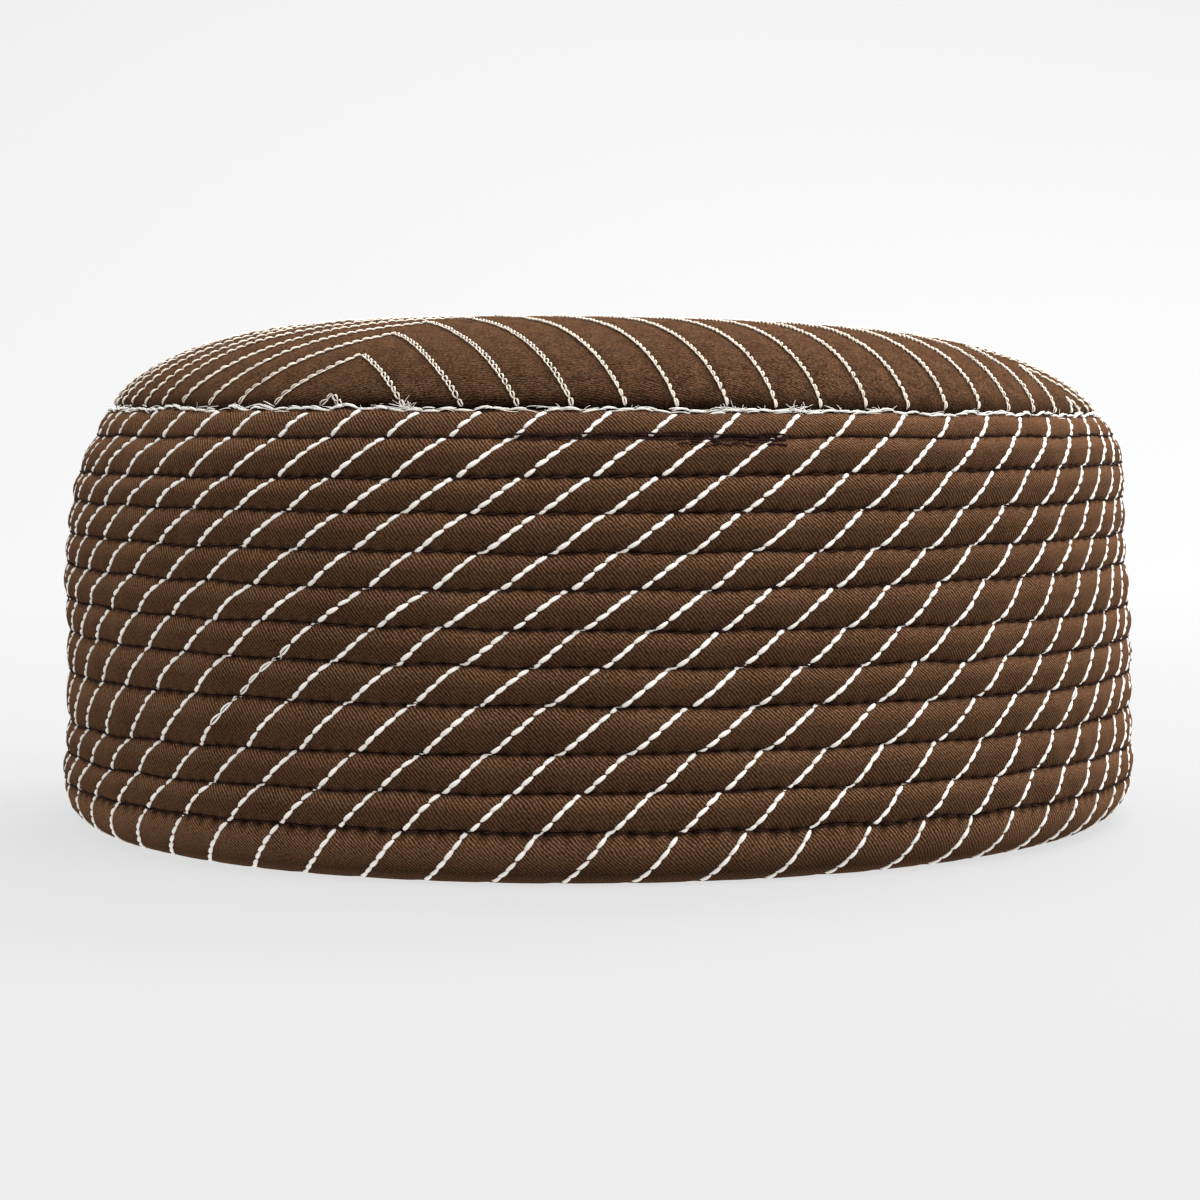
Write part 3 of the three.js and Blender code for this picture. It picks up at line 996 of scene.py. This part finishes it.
# The runs of dark thread where the top groove was sewn back and forth, which end at one place and
# are a little thinner and higher: where each starts, how many rows it lies off the groove, its
# stitch length and its sway
BACKTACK_END = 41.0
BACKTACK_SHARE = 0.9
BACKTACK_LIFT = 0.32
BACKTACK_GAP = 0.03
BACKTACK_ROWS = (
    (0.0, -0.07, 5.2, 0.08),
    (-2.0, 0.07, 4.6, 0.08),
    (24.0, -0.22, 1.7, 0.16),
    (26.0, -0.1, 1.5, 0.2),
    (27.0, 0.04, 1.6, 0.16),
)


# The run under the seam: height over it, how far out, how high over the cloth, and its gaps and sway
UNDER_SEAM = (-0.45, 0.3)
UNDER_SEAM_LOOK = (0.2, 0.05, 0.12)


def make_lock_stitch(sizes, material):
    """The dark lock stitch in the eleven grooves, the doubled stretch where one was sewn back, and
    the run just under the seam."""
    draw = np.random.default_rng(303)
    pitch, thread = sizes.lock_length / MM, sizes.lock_thread / MM
    rows = []
    for k in range(1, ROWS):
        shorter = 1 - 2 * math.pi * LEVELS["inset"][k] / GIRTH
        groove = groove_path(k, -GIRTH / 2, GIRTH / 2, 0.0, sizes)
        rows.append(lock_stitches(groove, pitch * shorter, thread, LOCK_LIFT, draw))
    for first, shift, length, sway in BACKTACK_ROWS:
        doubled = groove_path(ROWS - 1, first, BACKTACK_END, shift, sizes)
        rows.append(lock_stitches(doubled, length, thread * BACKTACK_SHARE, BACKTACK_LIFT, draw,
                                  BACKTACK_GAP, sway))
    lift, gap, sway = UNDER_SEAM_LOOK
    rows.append(lock_stitches(seam_path(*UNDER_SEAM), pitch, thread, lift, draw, gap, sway))
    thread_object("lock_stitch", rows, 4, material)


# The points of the seam's path, and how far its normals lean up beside the oval's half sizes
SEAM_POINTS = 4200
SEAM_UPWARD = 62.0


def seam_path(lift, outset):
    """The path of the seam between band and crown, with normals that lean up."""
    s = np.linspace(-GIRTH / 2, GIRTH / 2, SEAM_POINTS)
    angle = oval_angle(s)
    z = LEVELS["height"][-1] + lift + level_drift(s, ROWS)
    z = z + SEAM_WANDER * wobble(s, 0.0, seed=61, waves=5, shortest=5, longest=16)
    points = np.stack([*oval_point(angle, SEAM_INSET - outset, LEVELS["sway"][-1]), z], -1)
    normal = np.stack([HALF_LENGTH * np.sin(angle), -HALF_WIDTH * np.cos(angle),
                       np.full(len(s), SEAM_UPWARD)], -1)
    return points, unit(normal)


# The runs of white thread in the seam: height over it, how far out, stitch length, thickness beside
# the white thread's, share of the stitches that show, and sway
SEAM_ROWS = (
    (0.1, 0.3, 2.6, 0.77, 0.93, 0.15),
    (0.22, 0.28, 1.9, 0.45, 0.4, 0.18),
    (0.02, 0.35, 3.1, 0.3, 0.6, 0.24),
    (0.3, 0.3, 2.6, 0.22, 0.5, 0.3),
)

# How high they lie over the seam's path, and the share of its length by which a stitch laps the next
SEAM_LIFT = 0.25
SEAM_LAP = 0.04


def make_seam_stitch(sizes, material):
    """The seam's white thread: a loosely twisted run all round, and thinner ones that come and go."""
    draw = np.random.default_rng(404)
    runs = []
    for height, outset, pitch, share, kept, sway in SEAM_ROWS:
        thread = sizes.chain_thread / MM * share
        run = lock_stitches(seam_path(height, outset), pitch, thread, SEAM_LIFT, draw, -SEAM_LAP, sway)
        chosen = draw.uniform(0, 1, len(run["tone"])) < kept
        runs.append({key: value[chosen] for key, value in run.items()})
    thread_object("seam_stitch", runs, 4, material)


# The frayed ends along the seam: where they are, how many fibres they have, how far these are
# spread along the seam, and how long they are
TUFT_COLUMNS = ("place", "count", "spread", "length")
TUFT_ROWS = (
    (-30.5, 14, 0.5, 0.9),
    (-17.8, 30, 0.5, 1.3),
    (6.5, 10, 0.6, 0.8),
    (33.0, 16, 1.0, 1.0),
    (44.6, 34, 0.9, 1.1),
    (52.0, 12, 0.8, 0.8),
)

# Where all spring from, over the seam and out from it; the single ones between the tufts, and half
# the thickness of all
FIBRE_ROOT = (0.3, 0.4)
STRAY_COUNT = 150
STRAY_LENGTH = 0.7
FIBRE_RADIUS = 0.055

# In shares of its length, how far a fibre reaches along the seam, up and out, and how it bends:
# means and spreads, or from and to; and the share by which it thins
FIBRE_ALONG, FIBRE_UP, FIBRE_OUT, FIBRE_BEND = (0, 1.1), (0.15, 0.45), (0.1, 0.6), (0, 0.4)
FIBRE_THINNING = 0.5
UPWARD = np.array([0.0, 0.0, 1.0])


def make_loose_fibres(sizes, material):
    """Short frayed fibres of thread that stand off the seam, in tufts and here and there: each a
    quadratic curve from a point of the seam, out along the normal and off to a random side."""
    draw = np.random.default_rng(505)
    points, normals = seam_path(*FIBRE_ROOT)
    tufts = dict(zip(TUFT_COLUMNS, np.repeat(TUFT_ROWS, [row[1] for row in TUFT_ROWS], axis=0).T))
    places = np.concatenate([draw.normal(tufts["place"], tufts["spread"]),
                             draw.uniform(-GIRTH / 2, GIRTH / 2, STRAY_COUNT)])
    longest = np.concatenate([tufts["length"], np.full(STRAY_COUNT, STRAY_LENGTH)])[:, None]
    count = len(places)
    picks = (((places + GIRTH / 2) % GIRTH) / GIRTH * (len(points) - 1)).astype(int)
    start, normal = points[picks], normals[picks]
    along = unit(np.cross(normal, UPWARD)) * longest * draw.normal(*FIBRE_ALONG, (count, 1))
    upward = UPWARD * longest * draw.normal(*FIBRE_UP, (count, 1))
    f = SECTIONS[None, :, None]
    reach = draw.uniform(*FIBRE_OUT, (count, 1, 1)) * longest[:, None]
    bend = draw.normal(*FIBRE_BEND, (count, 1, 3)) * longest[:, None]
    centres = start[:, None] + (along + upward)[:, None] * f + normal[:, None] * reach * f
    centres = centres + bend * f * (1 - f)
    ahead = unit(np.gradient(centres, axis=1))
    side = unit(np.cross(np.broadcast_to(normal[:, None], ahead.shape), ahead))
    up = unit(np.cross(ahead, side))
    radii = np.broadcast_to(FIBRE_RADIUS * (1 - FIBRE_THINNING * f[..., 0]), (count, len(SECTIONS)))
    fibres = {"centres": centres, "sides": side, "ups": up, "radii": radii,
              "tone": draw.uniform(0, 1, count)}
    thread_object("loose_fibres", [fibres], 3, material)


# Materials


MATH = "ShaderNodeMath"
VECTOR_MATH = "ShaderNodeVectorMath"
NOISE = "ShaderNodeTexNoise"
WHITE = (1.0, 1.0, 1.0, 1.0)


def add_node(tree, kind, inputs, **settings):
    """One shader node: inputs are its sockets by name or number, each a value, another node's
    output, or a node, which stands for its first output; settings are its properties."""
    made = tree.nodes.new(kind)
    for key, value in settings.items():
        setattr(made, key, value)
    for key, value in inputs.items():
        if isinstance(value, bpy.types.Node):
            value = value.outputs[0]
        if isinstance(value, bpy.types.NodeSocket):
            tree.links.new(value, made.inputs[key])
        else:
            made.inputs[key].default_value = value
    return made


def new_material(name):
    """An empty material and its tree of nodes."""
    material = bpy.data.materials.new(name)
    material.use_nodes = True
    material.node_tree.nodes.clear()
    return material, material.node_tree


def soft_wave(tree, turns):
    """A wave between 0 and 1: half of 1 and the cosine of the turns."""
    angle = add_node(tree, MATH, {0: turns, 1: 2 * math.pi}, operation="MULTIPLY")
    wave = add_node(tree, MATH, {0: angle}, operation="COSINE")
    return add_node(tree, MATH, {0: wave, 1: 0.5, 2: 0.5}, operation="MULTIPLY_ADD")


# The twill's weave in metres: from rib to rib, and the length of one float of yarn; how many noise
# cells to a metre make its ribs wander and its fuzz; how sharp a rib is, how many turns its floats
# may start apart from the next rib's, and how deep they beat; how pale the cloth looks in its
# painted shade, how much of its weave that hides, how much darker the painted shade makes it, and
# how far the fuzz stands up beside the ribs
RIB_SPACING = 0.00047
FLOAT_LENGTH = 0.0009
WANDER_SCALE = 420.0
FUZZ_SCALE = 2100.0
RIB_SHARPNESS = 1.4
FLOAT_SHIFT = 7.0
FLOAT_DEPTH = 0.35
GROOVE_LIGHT = 0.38
GROOVE_HIDES = 0.6
GROOVE_DARKENS = 0.97
FUZZ_HEIGHT = 0.35

# The twill of each part: the turn of its ribs in degrees, how pale it is, how far its ribs wander,
# the strength of its fuzz, how many patches of wear there are to a metre and how strong these are.
# Both parts are one cotton: the band's greater paleness, with the painted shade of its rows, paints
# the light on the tops of the rows, and the crown's lower paleness is painted shade for how its
# ribs are lit and seen
TWILL_ROWS = {
    "band": (48.0, 1.3, 1.1, 1.1, 60.0, 0.35),
    "crown": (4.0, 0.68, 2.0, 4.0, 420.0, 1.6),
}


def cotton_twill(name, colours, turn, shade, wander, fuzz, patches, mottle):
    """Cotton twill, woven in slanting ribs and brushed a little by wear: matt, with each rib
    catching the light and each furrow dark, and a soft sheen of fuzz at grazing angles. Each rib
    is a cosine across it, and beats by another along its floats, from a start of its own."""
    material, tree = new_material(name)
    uv = add_node(tree, "ShaderNodeUVMap", {}, uv_map="cloth")
    sine, cosine = math.sin(math.radians(turn)), math.cos(math.radians(turn))
    across, along = (
        add_node(tree, VECTOR_MATH, {0: uv, 1: direction}, operation="DOT_PRODUCT").outputs["Value"]
        for direction in ((sine / RIB_SPACING, cosine / RIB_SPACING, 0.0),
                          (-cosine / FLOAT_LENGTH, sine / FLOAT_LENGTH, 0.0)))
    drift, fibres, patch = (
        add_node(tree, NOISE, {"Vector": uv, "Scale": scale, "Detail": detail, "Roughness": rough},
                 noise_dimensions="2D")
        for scale, detail, rough in ((WANDER_SCALE, 2.0, 0.6), (FUZZ_SCALE, 3.0, 0.7),
                                     (patches, 3.0, 0.6)))
    across = add_node(tree, MATH, {0: drift, 1: wander, 2: across}, operation="MULTIPLY_ADD")
    rib = add_node(tree, MATH, {0: soft_wave(tree, across), 1: RIB_SHARPNESS}, operation="POWER")
    number = add_node(tree, MATH, {0: across}, operation="ROUND")
    yarn = add_node(tree, "ShaderNodeTexWhiteNoise", {"W": number}, noise_dimensions="1D")
    beat = add_node(tree, MATH, {0: yarn, 1: FLOAT_SHIFT, 2: along}, operation="MULTIPLY_ADD")
    woven = add_node(tree, MATH, {0: soft_wave(tree, beat), 1: FLOAT_DEPTH, 2: 1 - FLOAT_DEPTH},
                     operation="MULTIPLY_ADD")
    light = add_node(tree, MATH, {0: rib, 1: woven}, operation="MULTIPLY")
    for noise, strength in ((fibres, fuzz), (patch, mottle)):
        centred = add_node(tree, MATH, {0: noise, 1: 0.5}, operation="SUBTRACT")
        light = add_node(tree, MATH, {0: centred, 1: strength, 2: light}, operation="MULTIPLY_ADD")
    # the groove attribute is painted shade: where it is high, the weave is hidden and the colour
    # darkened
    groove = add_node(tree, "ShaderNodeAttribute", {}, attribute_name="groove").outputs["Fac"]
    hidden = add_node(tree, MATH, {0: groove, 1: GROOVE_HIDES}, operation="MULTIPLY")
    light = add_node(tree, "ShaderNodeMix", {0: hidden, 2: light, 3: GROOVE_LIGHT})
    cloth = add_node(tree, "ShaderNodeMix",
                     {0: light, 6: tuple(colours.twill_dark), 7: tuple(colours.twill_light)},
                     data_type="RGBA")
    pale = add_node(tree, MATH, {0: groove, 1: -GROOVE_DARKENS * shade, 2: shade},
                    operation="MULTIPLY_ADD")
    shaded = add_node(tree, VECTOR_MATH, {0: cloth.outputs[2], 3: pale}, operation="SCALE")
    relief = add_node(tree, MATH, {0: fibres, 1: FUZZ_HEIGHT, 2: light}, operation="MULTIPLY_ADD")
    bump = add_node(tree, "ShaderNodeBump", {"Strength": 0.85, "Distance": 0.00022, "Height": relief})
    skin = add_node(tree, "ShaderNodeBsdfPrincipled", {
        "Base Color": shaded, "Roughness": 0.92, "Normal": bump, "Specular IOR Level": 0.0,
        "Sheen Weight": 0.22, "Sheen Roughness": 0.3, "Sheen Tint": (0.85, 0.45, 0.25, 1.0)})
    add_node(tree, "ShaderNodeOutputMaterial", {"Surface": skin})
    return material


# A turn of a thread's ply, by its length in metres and by the corners of the tube that it takes
# round it, and how many noise cells to a metre fray the thread; how pale it is, how much paler the
# ridges are by a painted highlight, how much paler the frayed places are, and how far these stand
# up beside the ply
PLY_LENGTH = 0.00055
PLY_CORNERS = 5
FRAY_SCALE = 2600.0
THREAD_LIGHT, RIDGE_HIGHLIGHT, FRAY_LIGHT = 0.9, 0.07, 0.06
FRAY_HEIGHT = 0.2


def cotton_thread(name, colour, shade, gloss, fuzz):
    """Two-ply cotton sewing thread: matt, with the turns of its ply as fine slanting ridges by a sine,
    each ridge painted paler as a highlight, and each stitch a little lighter or darker than the next."""
    material, tree = new_material(name)
    uv = add_node(tree, "ShaderNodeUVMap", {}, uv_map="cloth")
    slant = (2 * math.pi / PLY_LENGTH, 2 * math.pi / (PLY_CORNERS * MM), 0.0)
    turns = add_node(tree, VECTOR_MATH, {0: uv, 1: slant}, operation="DOT_PRODUCT").outputs["Value"]
    ply = add_node(tree, MATH, {0: turns}, operation="SINE")
    ridge = add_node(tree, MATH, {0: ply}, operation="ABSOLUTE")
    place = add_node(tree, "ShaderNodeTexCoord", {}).outputs["Object"]
    fray = add_node(tree, NOISE, {"Vector": place, "Scale": FRAY_SCALE, "Detail": 1.0})
    tone = add_node(tree, "ShaderNodeAttribute", {}, attribute_name="tone").outputs["Fac"]
    level = add_node(tree, MATH, {0: tone, 1: -shade, 2: THREAD_LIGHT}, operation="MULTIPLY_ADD")
    # a painted highlight on the ply's ridges, and paler frayed places
    for pattern, strength in ((ridge, RIDGE_HIGHLIGHT), (fray, FRAY_LIGHT)):
        level = add_node(tree, MATH, {0: pattern, 1: strength, 2: level}, operation="MULTIPLY_ADD")
    shaded = add_node(tree, VECTOR_MATH, {0: tuple(colour[:3]), 3: level}, operation="SCALE")
    relief = add_node(tree, MATH, {0: fray, 1: FRAY_HEIGHT, 2: ply}, operation="MULTIPLY_ADD")
    bump = add_node(tree, "ShaderNodeBump", {"Strength": 0.1, "Distance": 0.00006, "Height": relief})
    skin = add_node(tree, "ShaderNodeBsdfPrincipled", {
        "Base Color": shaded, "Roughness": 0.8, "Normal": bump, "Specular IOR Level": gloss,
        "Sheen Weight": fuzz, "Sheen Roughness": 0.5})
    add_node(tree, "ShaderNodeOutputMaterial", {"Surface": skin})
    return material


def painted_board(name, colour, glow):
    """The studio's smooth painted floor, matt and plain, and lit from behind a little, so that the
    cap's shadow on it stays pale."""
    material, tree = new_material(name)
    grain = add_node(tree, NOISE, {"Scale": 900.0, "Detail": 1.0})
    rough = add_node(tree, MATH, {0: grain, 1: 0.05, 2: 0.62}, operation="MULTIPLY_ADD")
    skin = add_node(tree, "ShaderNodeBsdfPrincipled", {
        "Base Color": tuple(colour), "Roughness": rough, "Specular IOR Level": 0.0,
        "Emission Color": WHITE, "Emission Strength": glow})
    add_node(tree, "ShaderNodeOutputMaterial", {"Surface": skin})
    return material


def named_material(name, make, *values):
    """A material by name, made the first time it is asked for."""
    return bpy.data.materials.get(name) or make(name, *values)


def twill_for(context, part):
    """The twill of the band or of the crown."""
    return named_material("brown_cotton_twill_" + part, cotton_twill, context.scene.cap_colours,
                          *TWILL_ROWS[part])


# The sewing threads: how much a stitch may darken, the gloss and the fuzz
THREAD_ROWS = {"white": (0.1, 0.2, 0.15), "yellowed": (0.16, 0.1, 0.1), "dark": (0.35, 0.03, 0.0)}


def thread_for(context, kind):
    """The white, the yellowed or the dark thread."""
    colour = getattr(context.scene.cap_colours, kind + "_thread")
    return named_material(kind + "_cotton_thread", cotton_thread, tuple(colour), *THREAD_ROWS[kind])


# Stage


# The swept floor in metres: its front edge, how far back the backdrop stands, half its width, the
# backdrop's height and the radius of the sweep
FLOOR_FRONT, FLOOR_BACK, FLOOR_SIDE, FLOOR_TOP, FLOOR_RADIUS = -4.0, 1.7, 4.0, 2.6, 0.9


def make_floor(material):
    """The floor and the backdrop as one swept sheet: level, a quarter circle, then upright. It
    throws no light back up into the folds, as though it stood well below them."""
    turn = np.linspace(0, np.pi / 2, 25)
    y = np.concatenate([[FLOOR_FRONT], FLOOR_BACK - FLOOR_RADIUS * (1 - np.sin(turn)), [FLOOR_BACK]])
    z = np.concatenate([[0.0], FLOOR_RADIUS * (1 - np.cos(turn)), [FLOOR_TOP]])
    count = len(y)
    x = np.repeat([-FLOOR_SIDE, FLOOR_SIDE], count)
    points = np.stack([x, np.tile(y, 2), np.tile(z, 2)], -1)
    i = np.arange(count - 1)
    faces = np.stack([i, i + count, i + count + 1, i + 1], -1)
    mesh = bpy.data.meshes.new("floor")
    mesh.from_pydata(points.tolist(), [], faces.tolist())
    mesh.polygons.foreach_set("use_smooth", np.ones(len(faces), bool))
    mesh.materials.append(material)
    floor = bpy.data.objects.new("floor", mesh)
    floor.visible_diffuse = False
    bpy.context.scene.collection.objects.link(floor)


def make_camera(scene):
    """The camera, looking level along +Y, then turned towards -X and dipped."""
    data = bpy.data.cameras.new("camera")
    data.lens, data.sensor_width, data.sensor_fit = LENS, SENSOR, "HORIZONTAL"
    data.clip_start, data.clip_end = 0.05, 20.0
    camera = bpy.data.objects.new("camera", data)
    turn = Matrix.Rotation(CAMERA_TURN, 4, "Z") @ Matrix.Rotation(math.pi / 2 - CAMERA_DIP, 4, "X")
    camera.matrix_world = Matrix.Translation(Vector(CAMERA_PLACE) * MM) @ turn
    scene.collection.objects.link(camera)
    scene.camera = camera


# The softboxes: place, aim, size and power in watts
LIGHT_ROWS = (
    ("key", (0.45, -0.62, 1.45), (0.0, 0.0, 0.04), (0.9, 0.7), 13.3),
    ("right", (1.0, -0.25, 1.2), (0.0, 0.0, 0.04), (0.8, 0.6), 12.0),
    ("behind", (0.3, 1.0, 0.9), (0.0, 0.0, 0.05), (1.2, 0.5), 40.0),
    ("backdrop", (0.0, 0.75, 1.7), (0.0, 1.7, 0.7), (2.6, 0.5), 62.0),
)

# Brightness of the room under the horizon, in place of what the pale floor would throw up, and
# over it
WORLD_BELOW = 1.07
WORLD_ABOVE = 0.71

# The light that the floor itself gives
FLOOR_GLOW = 0.69


def make_lights(scene):
    """Rectangular softboxes in a pale room."""
    for name, place, aim, size, power in LIGHT_ROWS:
        data = bpy.data.lights.new(name, "AREA")
        data.shape, data.size, data.size_y, data.energy = "RECTANGLE", *size, power
        light = bpy.data.objects.new(name, data)
        light.location = place
        light.rotation_euler = (Vector(aim) - Vector(place)).to_track_quat("-Z", "Y").to_euler()
        scene.collection.objects.link(light)
    world = bpy.data.worlds.new("studio")
    world.use_nodes = True
    tree = world.node_tree
    tree.nodes.clear()
    ray = add_node(tree, "ShaderNodeTexCoord", {}).outputs["Generated"]
    height = add_node(tree, "ShaderNodeSeparateXYZ", {0: ray}).outputs[2]
    strength = add_node(tree, "ShaderNodeMapRange",
                        {0: height, 1: -0.3, 2: 0.5, 3: WORLD_BELOW, 4: WORLD_ABOVE},
                        interpolation_type="SMOOTHSTEP")
    glow = add_node(tree, "ShaderNodeBackground", {0: WHITE, 1: strength})
    add_node(tree, "ShaderNodeOutputWorld", {0: glow})
    scene.world = world
    scene.view_settings.view_transform = "Standard"


# Operators


class CAP_OT_stage(bpy.types.Operator):
    """Make the floor, the camera and the soft lights"""

    bl_idname = "cap.stage"
    bl_label = "Stage"

    def execute(self, context):
        floor = named_material("painted_board", painted_board, context.scene.cap_colours.floor,
                               FLOOR_GLOW)
        make_floor(floor)
        make_camera(context.scene)
        make_lights(context.scene)
        return {"FINISHED"}


class CAP_OT_band_cloth(bpy.types.Operator):
    """Make the band's padded cloth in place of its solid"""

    bl_idname = "cap.band_cloth"
    bl_label = "Band cloth"

    def execute(self, context):
        make_band_cloth(context.scene.cap_sizes, twill_for(context, "band"))
        return {"FINISHED"}


class CAP_OT_crown_cloth(bpy.types.Operator):
    """Make the crown's padded cloth in place of its solid"""

    bl_idname = "cap.crown_cloth"
    bl_label = "Crown cloth"

    def execute(self, context):
        make_crown_cloth(context.scene.cap_sizes, twill_for(context, "crown"))
        return {"FINISHED"}


class CAP_OT_chain_stitch(bpy.types.Operator):
    """Sew the white chain stitch on the band and the crown"""

    bl_idname = "cap.chain_stitch"
    bl_label = "Chain stitch"

    def execute(self, context):
        make_band_chain(context.scene.cap_sizes, thread_for(context, "white"))
        make_crown_chain(context.scene.cap_sizes, thread_for(context, "yellowed"))
        return {"FINISHED"}


class CAP_OT_lock_stitch(bpy.types.Operator):
    """Sew the dark lock stitch in the band's grooves"""

    bl_idname = "cap.lock_stitch"
    bl_label = "Lock stitch"

    def execute(self, context):
        make_lock_stitch(context.scene.cap_sizes, thread_for(context, "dark"))
        return {"FINISHED"}


class CAP_OT_seam(bpy.types.Operator):
    """Sew the seam between band and crown, with its loose fibres"""

    bl_idname = "cap.seam"
    bl_label = "Seam"

    def execute(self, context):
        make_seam_stitch(context.scene.cap_sizes, thread_for(context, "white"))
        make_loose_fibres(context.scene.cap_sizes, thread_for(context, "white"))
        return {"FINISHED"}


class CAP_PT_panel(bpy.types.Panel):
    """The cap's steps, sizes and colours in the 3D view's sidebar"""

    bl_idname = "CAP_PT_panel"
    bl_label = "Quilted Prayer Cap"
    bl_space_type = "VIEW_3D"
    bl_region_type = "UI"
    bl_category = "Cap"

    def draw(self, context):
        for step in STEPS:
            self.layout.operator(step.bl_idname)
        for group in (context.scene.cap_sizes, context.scene.cap_colours):
            for key in group.__annotations__:
                self.layout.prop(group, key)


STEPS = (CAP_OT_stage, CAP_OT_band_cloth, CAP_OT_crown_cloth, CAP_OT_chain_stitch,
         CAP_OT_lock_stitch, CAP_OT_seam)
CLASSES = (CapSizes, CapColours, *STEPS, CAP_PT_panel)


def register():
    """Adds the classes, and the sizes and colours of a scene."""
    for made in CLASSES:
        bpy.utils.register_class(made)
    bpy.types.Scene.cap_sizes = bpy.props.PointerProperty(type=CapSizes)
    bpy.types.Scene.cap_colours = bpy.props.PointerProperty(type=CapColours)


def unregister():
    """Takes them away again."""
    del bpy.types.Scene.cap_colours
    del bpy.types.Scene.cap_sizes
    for made in reversed(CLASSES):
        bpy.utils.unregister_class(made)


def main():
    """Makes the whole scene."""
    register()
    bpy.ops.cap.stage()
    bpy.ops.cap.band_cloth()
    bpy.ops.cap.crown_cloth()
    bpy.ops.cap.chain_stitch()
    bpy.ops.cap.lock_stitch()
    bpy.ops.cap.seam()


if __name__ == "__main__":
    main()
